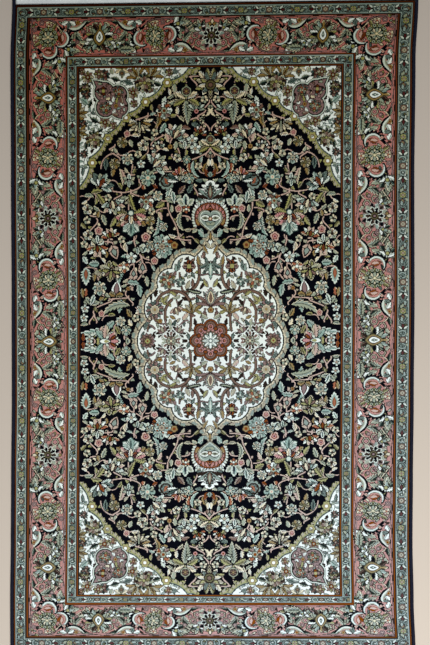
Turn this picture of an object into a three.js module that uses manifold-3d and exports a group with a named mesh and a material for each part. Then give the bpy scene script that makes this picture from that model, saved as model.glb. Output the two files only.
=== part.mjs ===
// A hand-knotted silk rug with a medallion, lying flat: the knotted body, an overcast cord down
// each long side, and at each end a narrow woven strip with its knotted fringe.
// Millimetres, +Z up, +Y towards the rug's top end. The origin is the middle of the underside.

import * as THREE from 'three';
import { mergeVertices } from 'three/addons/utils/BufferGeometryUtils.js';
import Module from 'manifold-3d';

const wasm = await Module();
wasm.setup();

// Driving sizes of the rug
const rugWidth = 945;
const pileLength = 1523;
const clothThickness = 6;
const partingGap = 0.3;
const stepsAlong = 30;
const stepsAcross = 8;

// Overcast side cords, wrapped round the outermost warps
const cordWidth = 8;
const cordThickness = 6.4;

// Woven end strips, and the fringe that the warps make beyond them
const stripDepth = 14;
const stripThickness = 2;
const fringeLength = 46;
const locksPerEnd = 92;

// How far each long side strays outwards from its straight line, by place along the rug
const sideStray = [
  { along: 765, left: -3, right: 9.5 },
  { along: 625, left: 1.3, right: 2.8 },
  { along: 345, left: 0, right: 0 },
  { along: 65, left: -1.6, right: 0.5 },
  { along: -170, left: -2.1, right: -1.4 },
  { along: -355, left: -0.4, right: -3.3 },
  { along: -500, left: 0.4, right: -4.3 },
  { along: -640, left: 2, right: -1.6 },
  { along: -765, left: 1.5, right: 3 },
];

// How much further out each end lies at its right corner than at its left corner
const endSlant = { top: 11.5, bottom: 1.5 };

// The body's edge from the floor up: how far it draws inwards at each height
const bodyRim = [
  { inward: 0.6, height: 0 },
  { inward: 0, height: 0.8 },
  { inward: 0, height: clothThickness - 2 },
  { inward: 0.7, height: clothThickness - 0.5 },
  { inward: 2, height: clothThickness },
];

// A knotted lock of the fringe: half width and height at each place along it, from its root
const lockSections = [
  { share: 0, halfWidth: 1.3, height: 1.7 },
  { share: 0.16, halfWidth: 2.6, height: 4.2 },
  { share: 0.28, halfWidth: 1.4, height: 2.2 },
  { share: 1, halfWidth: 2, height: 1.4 },
];
const topToFoot = 0.6;
const rootInStrip = 5;
const lockInset = 3.6;
const leanPower = 1.6;
const lengthVariation = 5;

// A side cord's section is a rounded bar with a flat underside
const cordProfile = [
  { across: -0.34, up: 0 },
  { across: 0.34, up: 0 },
  { across: 0.5, up: 0.32 },
  { across: 0.44, up: 0.74 },
  { across: 0.2, up: 1 },
  { across: -0.2, up: 1 },
  { across: -0.44, up: 0.74 },
  { across: -0.5, up: 0.32 },
];

const silk = new THREE.MeshStandardMaterial({ color: 0x6d4d49, roughness: 0.62, metalness: 0 });
const navyYarn = new THREE.MeshStandardMaterial({ color: 0x141a31, roughness: 0.7, metalness: 0 });
const paleWarp = new THREE.MeshStandardMaterial({ color: 0xd3e0e0, roughness: 0.75, metalness: 0 });

// Value of one column of the stray table, eased between its rows
function stray(side, along) {
  const rows = sideStray;
  if (along >= rows[0].along) return rows[0][side];
  const next = rows.findIndex((row) => row.along <= along);
  if (next < 0) return rows[rows.length - 1][side];
  const above = rows[next - 1];
  const below = rows[next];
  const share = THREE.MathUtils.smoothstep(along, below.along, above.along);
  return THREE.MathUtils.lerp(below[side], above[side], share);
}

// Outer line of a long side. Direction is -1 for the left side and 1 for the right one.
function sideLine(direction, along) {
  const side = direction < 0 ? 'left' : 'right';
  return direction * (rugWidth / 2 + stray(side, along));
}

// Line where the pile stops at an end. Direction is 1 for the top end and -1 for the bottom one.
function endLine(direction, across) {
  const slant = direction > 0 ? endSlant.top : endSlant.bottom;
  return direction * (pileLength / 2 + slant * (across / rugWidth));
}

// Closed body through rings of points that have the same count, with a fan over each end.
// Seen from the first ring towards the last one, the points of a ring run clockwise.
function loft(rings) {
  const count = rings[0].length;
  const middle = (ring) => ring.reduce((sum, point) => sum.add(point), new THREE.Vector3())
    .divideScalar(count);
  const points = [...rings.flat(), middle(rings[0]), middle(rings[rings.length - 1])];
  const faces = [];
  const firstMiddle = points.length - 2;
  const lastMiddle = points.length - 1;
  const lastRing = (rings.length - 1) * count;
  for (let i = 0; i < count; i += 1) {
    const j = (i + 1) % count;
    for (let k = 0; k < rings.length - 1; k += 1) {
      const near = k * count;
      const far = near + count;
      faces.push(near + i, near + j, far + j, near + i, far + j, far + i);
    }
    faces.push(firstMiddle, j, i);
    faces.push(lastMiddle, lastRing + i, lastRing + j);
  }
  const geometry = new THREE.BufferGeometry().setFromPoints(points);
  geometry.setIndex(faces);
  return geometry;
}

// Points at even steps from one place up to, but not including, another
function run(from, to, steps, pointAt) {
  const places = Array.from({ length: steps }, (_, i) => THREE.MathUtils.lerp(from, to, i / steps));
  return places.map(pointAt);
}

// Where cloth between the side cords starts and stops across an end of the pile
function clothReach(direction) {
  const inset = cordWidth + partingGap;
  const cornerY = direction * (pileLength / 2);
  return { left: sideLine(-1, cornerY) + inset, right: sideLine(1, cornerY) - inset };
}

// The knotted body: rings of the rug's outline less the side cords, from the floor up over the rim
function bodyGeometry() {
  const rings = bodyRim.map(({ inward, height }) => {
    const inset = cordWidth + partingGap + inward;
    const sideX = (direction, along) => sideLine(direction, along) - direction * inset;
    const endY = (direction, across) => endLine(direction, across) - direction * inward;
    const cornerX = (direction, end) => sideX(direction, end * (pileLength / 2));
    const cornerY = (direction, end) => endY(end, cornerX(direction, end));
    const onSide = (direction) => (y) => new THREE.Vector3(sideX(direction, y), y, height);
    const onEnd = (direction) => (x) => new THREE.Vector3(x, endY(direction, x), height);
    return [
      ...run(cornerY(1, -1), cornerY(1, 1), stepsAlong, onSide(1)),
      ...run(cornerX(1, 1), cornerX(-1, 1), stepsAcross, onEnd(1)),
      ...run(cornerY(-1, 1), cornerY(-1, -1), stepsAlong, onSide(-1)),
      ...run(cornerX(-1, -1), cornerX(1, -1), stepsAcross, onEnd(-1)),
    ];
  });
  return loft(rings);
}

// A side cord, from the outer edge of one end strip to that of the other
function cordGeometry(direction) {
  const cornerX = direction * (rugWidth / 2);
  const low = endLine(-1, cornerX) - stripDepth;
  const high = endLine(1, cornerX) + stripDepth;
  const rings = [];
  for (let i = 0; i <= stepsAlong; i += 1) {
    const along = THREE.MathUtils.lerp(high, low, i / stepsAlong);
    const x = sideLine(direction, along) - direction * (cordWidth / 2);
    rings.push(cordProfile.map(({ across, up }) => new THREE.Vector3(
      x + across * cordWidth,
      along,
      up * cordThickness,
    )));
  }
  return loft(rings);
}

// Outer edge of the strip's woven cloth, which follows the slant of the pile's end
function stripEdge(direction, across) {
  return endLine(direction, across) + direction * stripDepth;
}

// The woven strip past an end of the pile, between the two side cords
function stripGeometry(direction) {
  const { left, right } = clothReach(direction);
  const rings = [];
  for (let i = 0; i <= stepsAcross; i += 1) {
    const x = THREE.MathUtils.lerp(left, right, i / stepsAcross);
    const edges = [endLine(direction, x) + direction * partingGap, stripEdge(direction, x)];
    const low = Math.min(...edges);
    const high = Math.max(...edges);
    rings.push([
      new THREE.Vector3(x, high, 0),
      new THREE.Vector3(x, high, stripThickness),
      new THREE.Vector3(x, low, stripThickness),
      new THREE.Vector3(x, low, 0),
    ]);
  }
  return loft(rings);
}

// How far a lock leans sideways at its tip: two slow drifts along the end, and its own small turn
function lockLean(direction, index) {
  const longDrift = 3.2 * Math.sin(0.21 * index + direction);
  const shortDrift = 1.6 * Math.sin(0.57 * index);
  const ownTurn = 1.1 * Math.sin(12.9898 * (index + 1) + 3 * direction);
  return longDrift + shortDrift + ownTurn;
}

// How much shorter a lock is than the longest one
function lockShortfall(direction, index) {
  return (lengthVariation / 2) * (1 + Math.sin(4.7 * index + direction));
}

// One lock of the fringe: a bar of four sides with a knot near its root, level on the floor
function lockGeometry(direction, index) {
  const { left, right } = clothReach(direction);
  const rootX = THREE.MathUtils.lerp(left + lockInset, right - lockInset, index / (locksPerEnd - 1));
  const rootY = stripEdge(direction, rootX) - direction * rootInStrip;
  const length = rootInStrip + fringeLength - lockShortfall(direction, index);
  const lean = lockLean(direction, index);
  const rings = lockSections.map(({ share, halfWidth, height }) => {
    const x = rootX + lean * share ** leanPower;
    const y = rootY + direction * length * share;
    const halfTop = halfWidth * topToFoot;
    const ring = [
      new THREE.Vector3(x - halfWidth, y, 0),
      new THREE.Vector3(x + halfWidth, y, 0),
      new THREE.Vector3(x + halfTop, y, height),
      new THREE.Vector3(x - halfTop, y, height),
    ];
    return direction > 0 ? ring.reverse() : ring;
  });
  return loft(rings);
}

// Closed mesh to solid and back, for joining
function toSolid(geometry) {
  const bare = geometry.clone();
  bare.deleteAttribute('normal');
  bare.deleteAttribute('uv');
  const merged = mergeVertices(bare);
  return new wasm.Manifold(new wasm.Mesh({
    numProp: 3,
    vertProperties: new Float32Array(merged.attributes.position.array),
    triVerts: new Uint32Array(merged.index.array),
  }));
}

function toGeometry(solid) {
  const { vertProperties, triVerts } = solid.getMesh();
  const geometry = new THREE.BufferGeometry();
  geometry.setAttribute('position', new THREE.BufferAttribute(vertProperties, 3));
  geometry.setIndex(new THREE.BufferAttribute(triVerts, 1));
  return geometry;
}

// An end strip with its locks joined to it by their roots
function fringeGeometry(direction) {
  let joined = toSolid(stripGeometry(direction));
  for (let index = 0; index < locksPerEnd; index += 1) {
    joined = joined.add(toSolid(lockGeometry(direction, index)));
  }
  return toGeometry(joined);
}

function piece(name, geometry, material) {
  const mesh = new THREE.Mesh(geometry, material);
  mesh.name = name;
  mesh.geometry.computeVertexNormals();
  return mesh;
}

const laid = new THREE.Group();
laid.add(piece('rug_body', bodyGeometry(), silk));
laid.add(piece('side_cord_left', cordGeometry(-1), navyYarn));
laid.add(piece('side_cord_right', cordGeometry(1), navyYarn));
laid.add(piece('end_fringe_top', fringeGeometry(1), paleWarp));
laid.add(piece('end_fringe_bottom', fringeGeometry(-1), paleWarp));

// The origin goes to the middle of the underside
const middle = new THREE.Box3().setFromObject(laid).getCenter(new THREE.Vector3());
laid.position.set(-middle.x, -middle.y, 0);

const rug = new THREE.Group();
rug.add(laid);

export default rug;
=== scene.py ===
"""A hand-knotted silk rug with a medallion, laid flat: knotted pile, overcast sides, fringed ends."""
import math
from collections import namedtuple

import bpy
import numpy as np
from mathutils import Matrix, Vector


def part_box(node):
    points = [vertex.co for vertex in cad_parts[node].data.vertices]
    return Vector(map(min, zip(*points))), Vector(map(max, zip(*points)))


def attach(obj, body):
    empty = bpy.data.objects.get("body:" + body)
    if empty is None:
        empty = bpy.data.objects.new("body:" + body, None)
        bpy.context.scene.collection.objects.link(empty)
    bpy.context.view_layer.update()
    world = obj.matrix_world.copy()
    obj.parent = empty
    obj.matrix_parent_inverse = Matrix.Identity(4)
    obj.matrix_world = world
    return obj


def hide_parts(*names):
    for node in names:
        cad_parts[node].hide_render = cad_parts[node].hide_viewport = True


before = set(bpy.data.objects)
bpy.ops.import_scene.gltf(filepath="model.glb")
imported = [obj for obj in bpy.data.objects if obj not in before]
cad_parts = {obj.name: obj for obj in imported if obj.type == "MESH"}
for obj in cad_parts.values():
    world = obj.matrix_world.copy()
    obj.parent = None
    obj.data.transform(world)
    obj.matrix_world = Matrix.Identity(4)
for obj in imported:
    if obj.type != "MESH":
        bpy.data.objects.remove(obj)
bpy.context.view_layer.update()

# Sizes of the rug in millimetres, the same as in the solids
MM = 0.001
RUG_WIDTH = 945
PILE_LENGTH = 1523
PILE_HEIGHT = 6
PARTING_GAP = 0.3
CORD_WIDTH = 8
CORD_HEIGHT = 6.4
STRIP_DEPTH = 14
STRIP_HEIGHT = 2
FRINGE_LENGTH = 46
LOCKS_PER_END = 92
END_SLANT = {1: 11.5, -1: 1.5}

# How far each long side strays outwards from its straight line, by place along the rug
Stray = namedtuple("Stray", "along left right")
SIDE_STRAY = (
    Stray(765, -3, 9.5), Stray(625, 1.3, 2.8), Stray(345, 0, 0), Stray(65, -1.6, .5),
    Stray(-170, -2.1, -1.4), Stray(-355, -.4, -3.3), Stray(-500, .4, -4.3), Stray(-640, 2, -1.6),
    Stray(-765, 1.5, 3),
)

# How the chart of knots spreads over the rug: knots counted from its middle outwards, and how many
# millimetres they reach to the left and right of it, or towards the bottom and the top
Spread = namedtuple("Spread", "knots back ahead")
COLUMN_SPREAD = (
    Spread(0, 0, 0), Spread(260, 304.9, 304), Spread(266, 311.9, 309.8), Spread(284, 332.7, 331.8),
    Spread(289, 338.1, 338.6), Spread(361, 422.1, 430.1), Spread(367, 430.6, 436.6),
    Spread(389, 454.2, 465), Spread(396, 458.4, 469.9),
)
ROW_SPREAD = (
    Spread(0, 0, 0), Spread(199, 221.1, 241), Spread(530, 596.7, 643.5), Spread(534, 601.4, 648.2),
    Spread(552, 615.4, 669.9), Spread(556, 622, 673.9), Spread(628, 694.3, 762.6),
    Spread(632, 699.7, 765.2), Spread(654, 723.1, 789.3), Spread(660, 733.6, 796.8),
)


# The rug's design, drawn knot by knot on the top right quarter of it

# Yarns of the pile, in the order of their numbers in the knot chart, as display colours
YARNS = {
    "night": (2, 3, 12), "ivory": (230, 236, 230), "rose": (185, 118, 106), "rust": (122, 60, 12),
    "blush": (194, 164, 149), "aqua": (138, 168, 156), "ice": (204, 213, 200), "teal": (58, 82, 76),
    "sage": (152, 160, 136), "olive": (102, 97, 58), "gold": (148, 120, 62), "tan": (168, 160, 136),
    "mauve": (136, 108, 106), "forest": (26, 35, 30), "copper": (158, 88, 52), "slate": (95, 111, 104),
    "umber": (40, 28, 22), "wine": (84, 36, 36), "moss": (158, 156, 92), "cream": (222, 210, 176),
    "pink": (190, 128, 126), "navy": (16, 22, 42), "brown": (116, 88, 72), "mist": (134, 152, 142),
    "sky": (148, 165, 157), "frost": (208, 220, 214),
}
NUMBER = {name: i for i, name in enumerate(YARNS)}

Place = namedtuple("Place", "across up turn flip", defaults=(0.0, 1))


def beside(place, along, out, turn=0.0):
    """A place at a distance along and out from another one, in that place's own directions."""
    angle = math.radians(place.turn)
    out = out * place.flip
    return Place(
        place.across + along * math.cos(angle) - out * math.sin(angle),
        place.up + along * math.sin(angle) + out * math.cos(angle),
        place.turn + turn * place.flip,
        place.flip,
    )


class Chart:
    """Grid of yarn numbers, a knot each. Row 0 and column 0 lie at the middle of the rug. The outline is
    the yarn round each leaf and flower, and edge is how many knots wide it is."""

    def __init__(self, knots, outline):
        self.knots = knots.copy()
        self.outline = outline
        self.edge = 1.5

    def window(self, place, reach):
        """Knots within reach of a place, with how far each lies along and out from it."""
        rows, columns = self.knots.shape
        left = min(max(int(place.across - reach), 0), columns)
        right = min(max(int(place.across + reach) + 2, 0), columns)
        low = min(max(int(place.up - reach), 0), rows)
        high = min(max(int(place.up + reach) + 2, 0), rows)
        x = np.arange(left, right) + 0.5 - place.across
        y = (np.arange(low, high) + 0.5 - place.up)[:, None]
        angle = math.radians(place.turn)
        along = x * math.cos(angle) + y * math.sin(angle)
        out = (y * math.cos(angle) - x * math.sin(angle)) * place.flip
        return self.knots[low:high, left:right], along, out

    def fill(self, place, reach, inside, yarn):
        """Knots whose (along, out) satisfy inside get the yarn."""
        knots, along, out = self.window(place, reach)
        if knots.size:
            knots[inside(along, out)] = NUMBER[yarn]

    def stroke(self, points, width, yarn, over=None):
        """A line of round dabs along points, or only where it runs over one yarn. A point's first two
        numbers are across and up, and the width is one number or one for each point."""
        points = np.asarray(points, float)
        rows, columns = self.knots.shape
        half = np.broadcast_to(np.asarray(width, float) / 2, len(points))
        size = int(half.max()) + 2
        grid = np.arange(-size, size + 1)
        column = np.floor(points[:, 0])[:, None, None] + grid[None, None, :]
        row = np.floor(points[:, 1])[:, None, None] + grid[None, :, None]
        gap = np.hypot(column + 0.5 - points[:, 0, None, None], row + 0.5 - points[:, 1, None, None])
        hit = (gap <= half[:, None, None]) & (column >= 0) & (column < columns) & (row >= 0) & (row < rows)
        column = np.broadcast_to(column, hit.shape)[hit].astype(int)
        row = np.broadcast_to(row, hit.shape)[hit].astype(int)
        if over:
            bare = self.knots[row, column] == NUMBER[over]
            column, row = column[bare], row[bare]
        self.knots[row, column] = NUMBER[yarn]

    def take(self, drawn, inner, outer):
        """Takes over from another drawing the band from one corner (column, row) to a further one."""
        band = np.zeros(self.knots.shape, bool)
        band[:int(outer[1]), :int(outer[0])] = True
        band[:int(inner[1]), :int(inner[0])] = False
        self.knots[band] = drawn.knots[band]


# How a leaf or petal of each yarn is made up: its pale rim on dark ground, its other half, its vein
Dress = namedtuple("Dress", "rim shade vein")
DRESSES = {
    "ivory": Dress("ice", "mist", "slate"), "ice": Dress("ivory", "aqua", "teal"),
    "aqua": Dress("ice", "mist", "teal"), "mist": Dress("ice", "aqua", "teal"),
    "sage": Dress("cream", "mist", "forest"), "moss": Dress("tan", "olive", "forest"),
    "olive": Dress("tan", "moss", "umber"), "gold": Dress("tan", "olive", "umber"),
    "cream": Dress("ivory", "tan", "brown"), "tan": Dress("cream", "sage", "umber"),
    "blush": Dress("cream", "tan", "brown"), "pink": Dress("cream", "blush", "wine"),
    "copper": Dress("cream", "rust", "umber"), "rust": Dress("copper", "umber", "night"),
    "brown": Dress("tan", "mauve", "umber"), "mauve": Dress("blush", "brown", "umber"),
    "wine": Dress("copper", "rust", "night"), "slate": Dress("mist", "teal", "night"),
    "teal": Dress("mist", "slate", "night"), "forest": Dress("sage", "teal", "night"),
    "umber": Dress("brown", "umber", "night"), "night": Dress("night", "night", "night"),
    "sky": Dress("frost", "slate", "teal"),
}


def blade(chart, place, length, width, yarn, bend=0.0, teeth=0, blunt=1.0, lift=0.0, outline=None, full=False,
          belly=0.8):
    """Leaf along a spine that is an arc of bend degrees. At share t of the way its half width is
    sin(pi * t ** belly) ** blunt of the whole, with teeth cut into its edge. Lift moves it off the spine
    and narrows it by the same share. A full leaf has a rim, two halves, a vein and ribs."""
    turn = math.radians(bend)
    knots, along, out = chart.window(place, length + width)
    if not knots.size:
        return
    if abs(turn) > 0.02:
        side = math.copysign(1, turn)
        radius = length / abs(turn)
        spread = radius - side * out
        share = np.arctan2(along, spread) / abs(turn)
        off = side * (radius - np.hypot(along, spread))
    else:
        share, off = along / length, out + 0 * along
    t = np.clip(share, 0, 1)
    half = width / 2 * np.sin(math.pi * t ** belly) ** blunt
    if teeth:
        half = half * (0.6 + 0.64 * ((t * teeth + 0.45 * (off > 0)) % 1))
    inside = (share > -0.02) & (share < 1.02)
    gap = np.where(inside, np.abs(off - lift * half) - half * (1 - abs(lift)), 1e3)
    if outline:
        past = np.maximum(np.maximum(-share, share - 1) * length, 0)
        near = np.where(inside, gap, np.hypot(past, np.abs(off)) - 0.2)
        knots[(near <= chart.edge) & (past < chart.edge + 0.5)] = NUMBER[outline]
    if not full:
        knots[gap <= 0.35] = NUMBER[yarn]
        return
    dress = DRESSES[yarn]
    knots[gap <= 0.3] = NUMBER[dress.rim]
    body = (gap <= 0.3) & ((gap <= -0.9) | (off < 0) | (width < 6))
    knots[body] = NUMBER[yarn]
    knots[body & (off > 0.2 * half) & (gap <= -0.6)] = NUMBER[dress.shade]
    if width > 8:
        knots[(gap < -1.6) & (np.abs(off) <= 0.6) & (t > 0.08) & (t < 0.75)] = NUMBER[dress.vein]
    if width > 13:
        rib = (t * length / 6 - np.abs(off) / 5) % 1
        knots[(gap < -2) & (rib < 0.17)] = NUMBER[dress.vein]


def leaf(chart, start, length, width, yarn, bend=0.0, teeth=0, lift=0.0):
    """A full leaf from its foot, in the chart's outline, with a tooth for about every five knots."""
    blade(chart, start, length, width, yarn, bend, teeth or max(int(length / 5), 2), 0.8, lift, chart.outline,
          full=True)


def bloom(chart, place, radius, yarn, petals=0, depth=0.0):
    """Round flower shape: its rim swings in and out with the angle, once for each petal."""
    def inside(along, out):
        angle = np.arctan2(out, along)
        rim = radius * (1 - depth + depth * np.abs(np.cos(petals * angle / 2)) ** 0.7) if petals else radius
        return np.hypot(along, out) <= rim

    chart.fill(place, radius + 1, inside, yarn)


# Coats of a motif, painted in turn. Every share is of the motif's size, and starts are measured from
# its middle along the way it points.
Round = namedtuple("Round", "share yarn petals depth at", defaults=(0, 0.0, 0.0))
Blade = namedtuple("Blade", "start share fat yarn teeth blunt bend", defaults=(0, 1.0, 0.0))
Fan = namedtuple("Fan", "start share fat count spread yarns edge", defaults=(None,))
Dots = namedtuple("Dots", "share size count yarn start", defaults=(0.0,))

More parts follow.
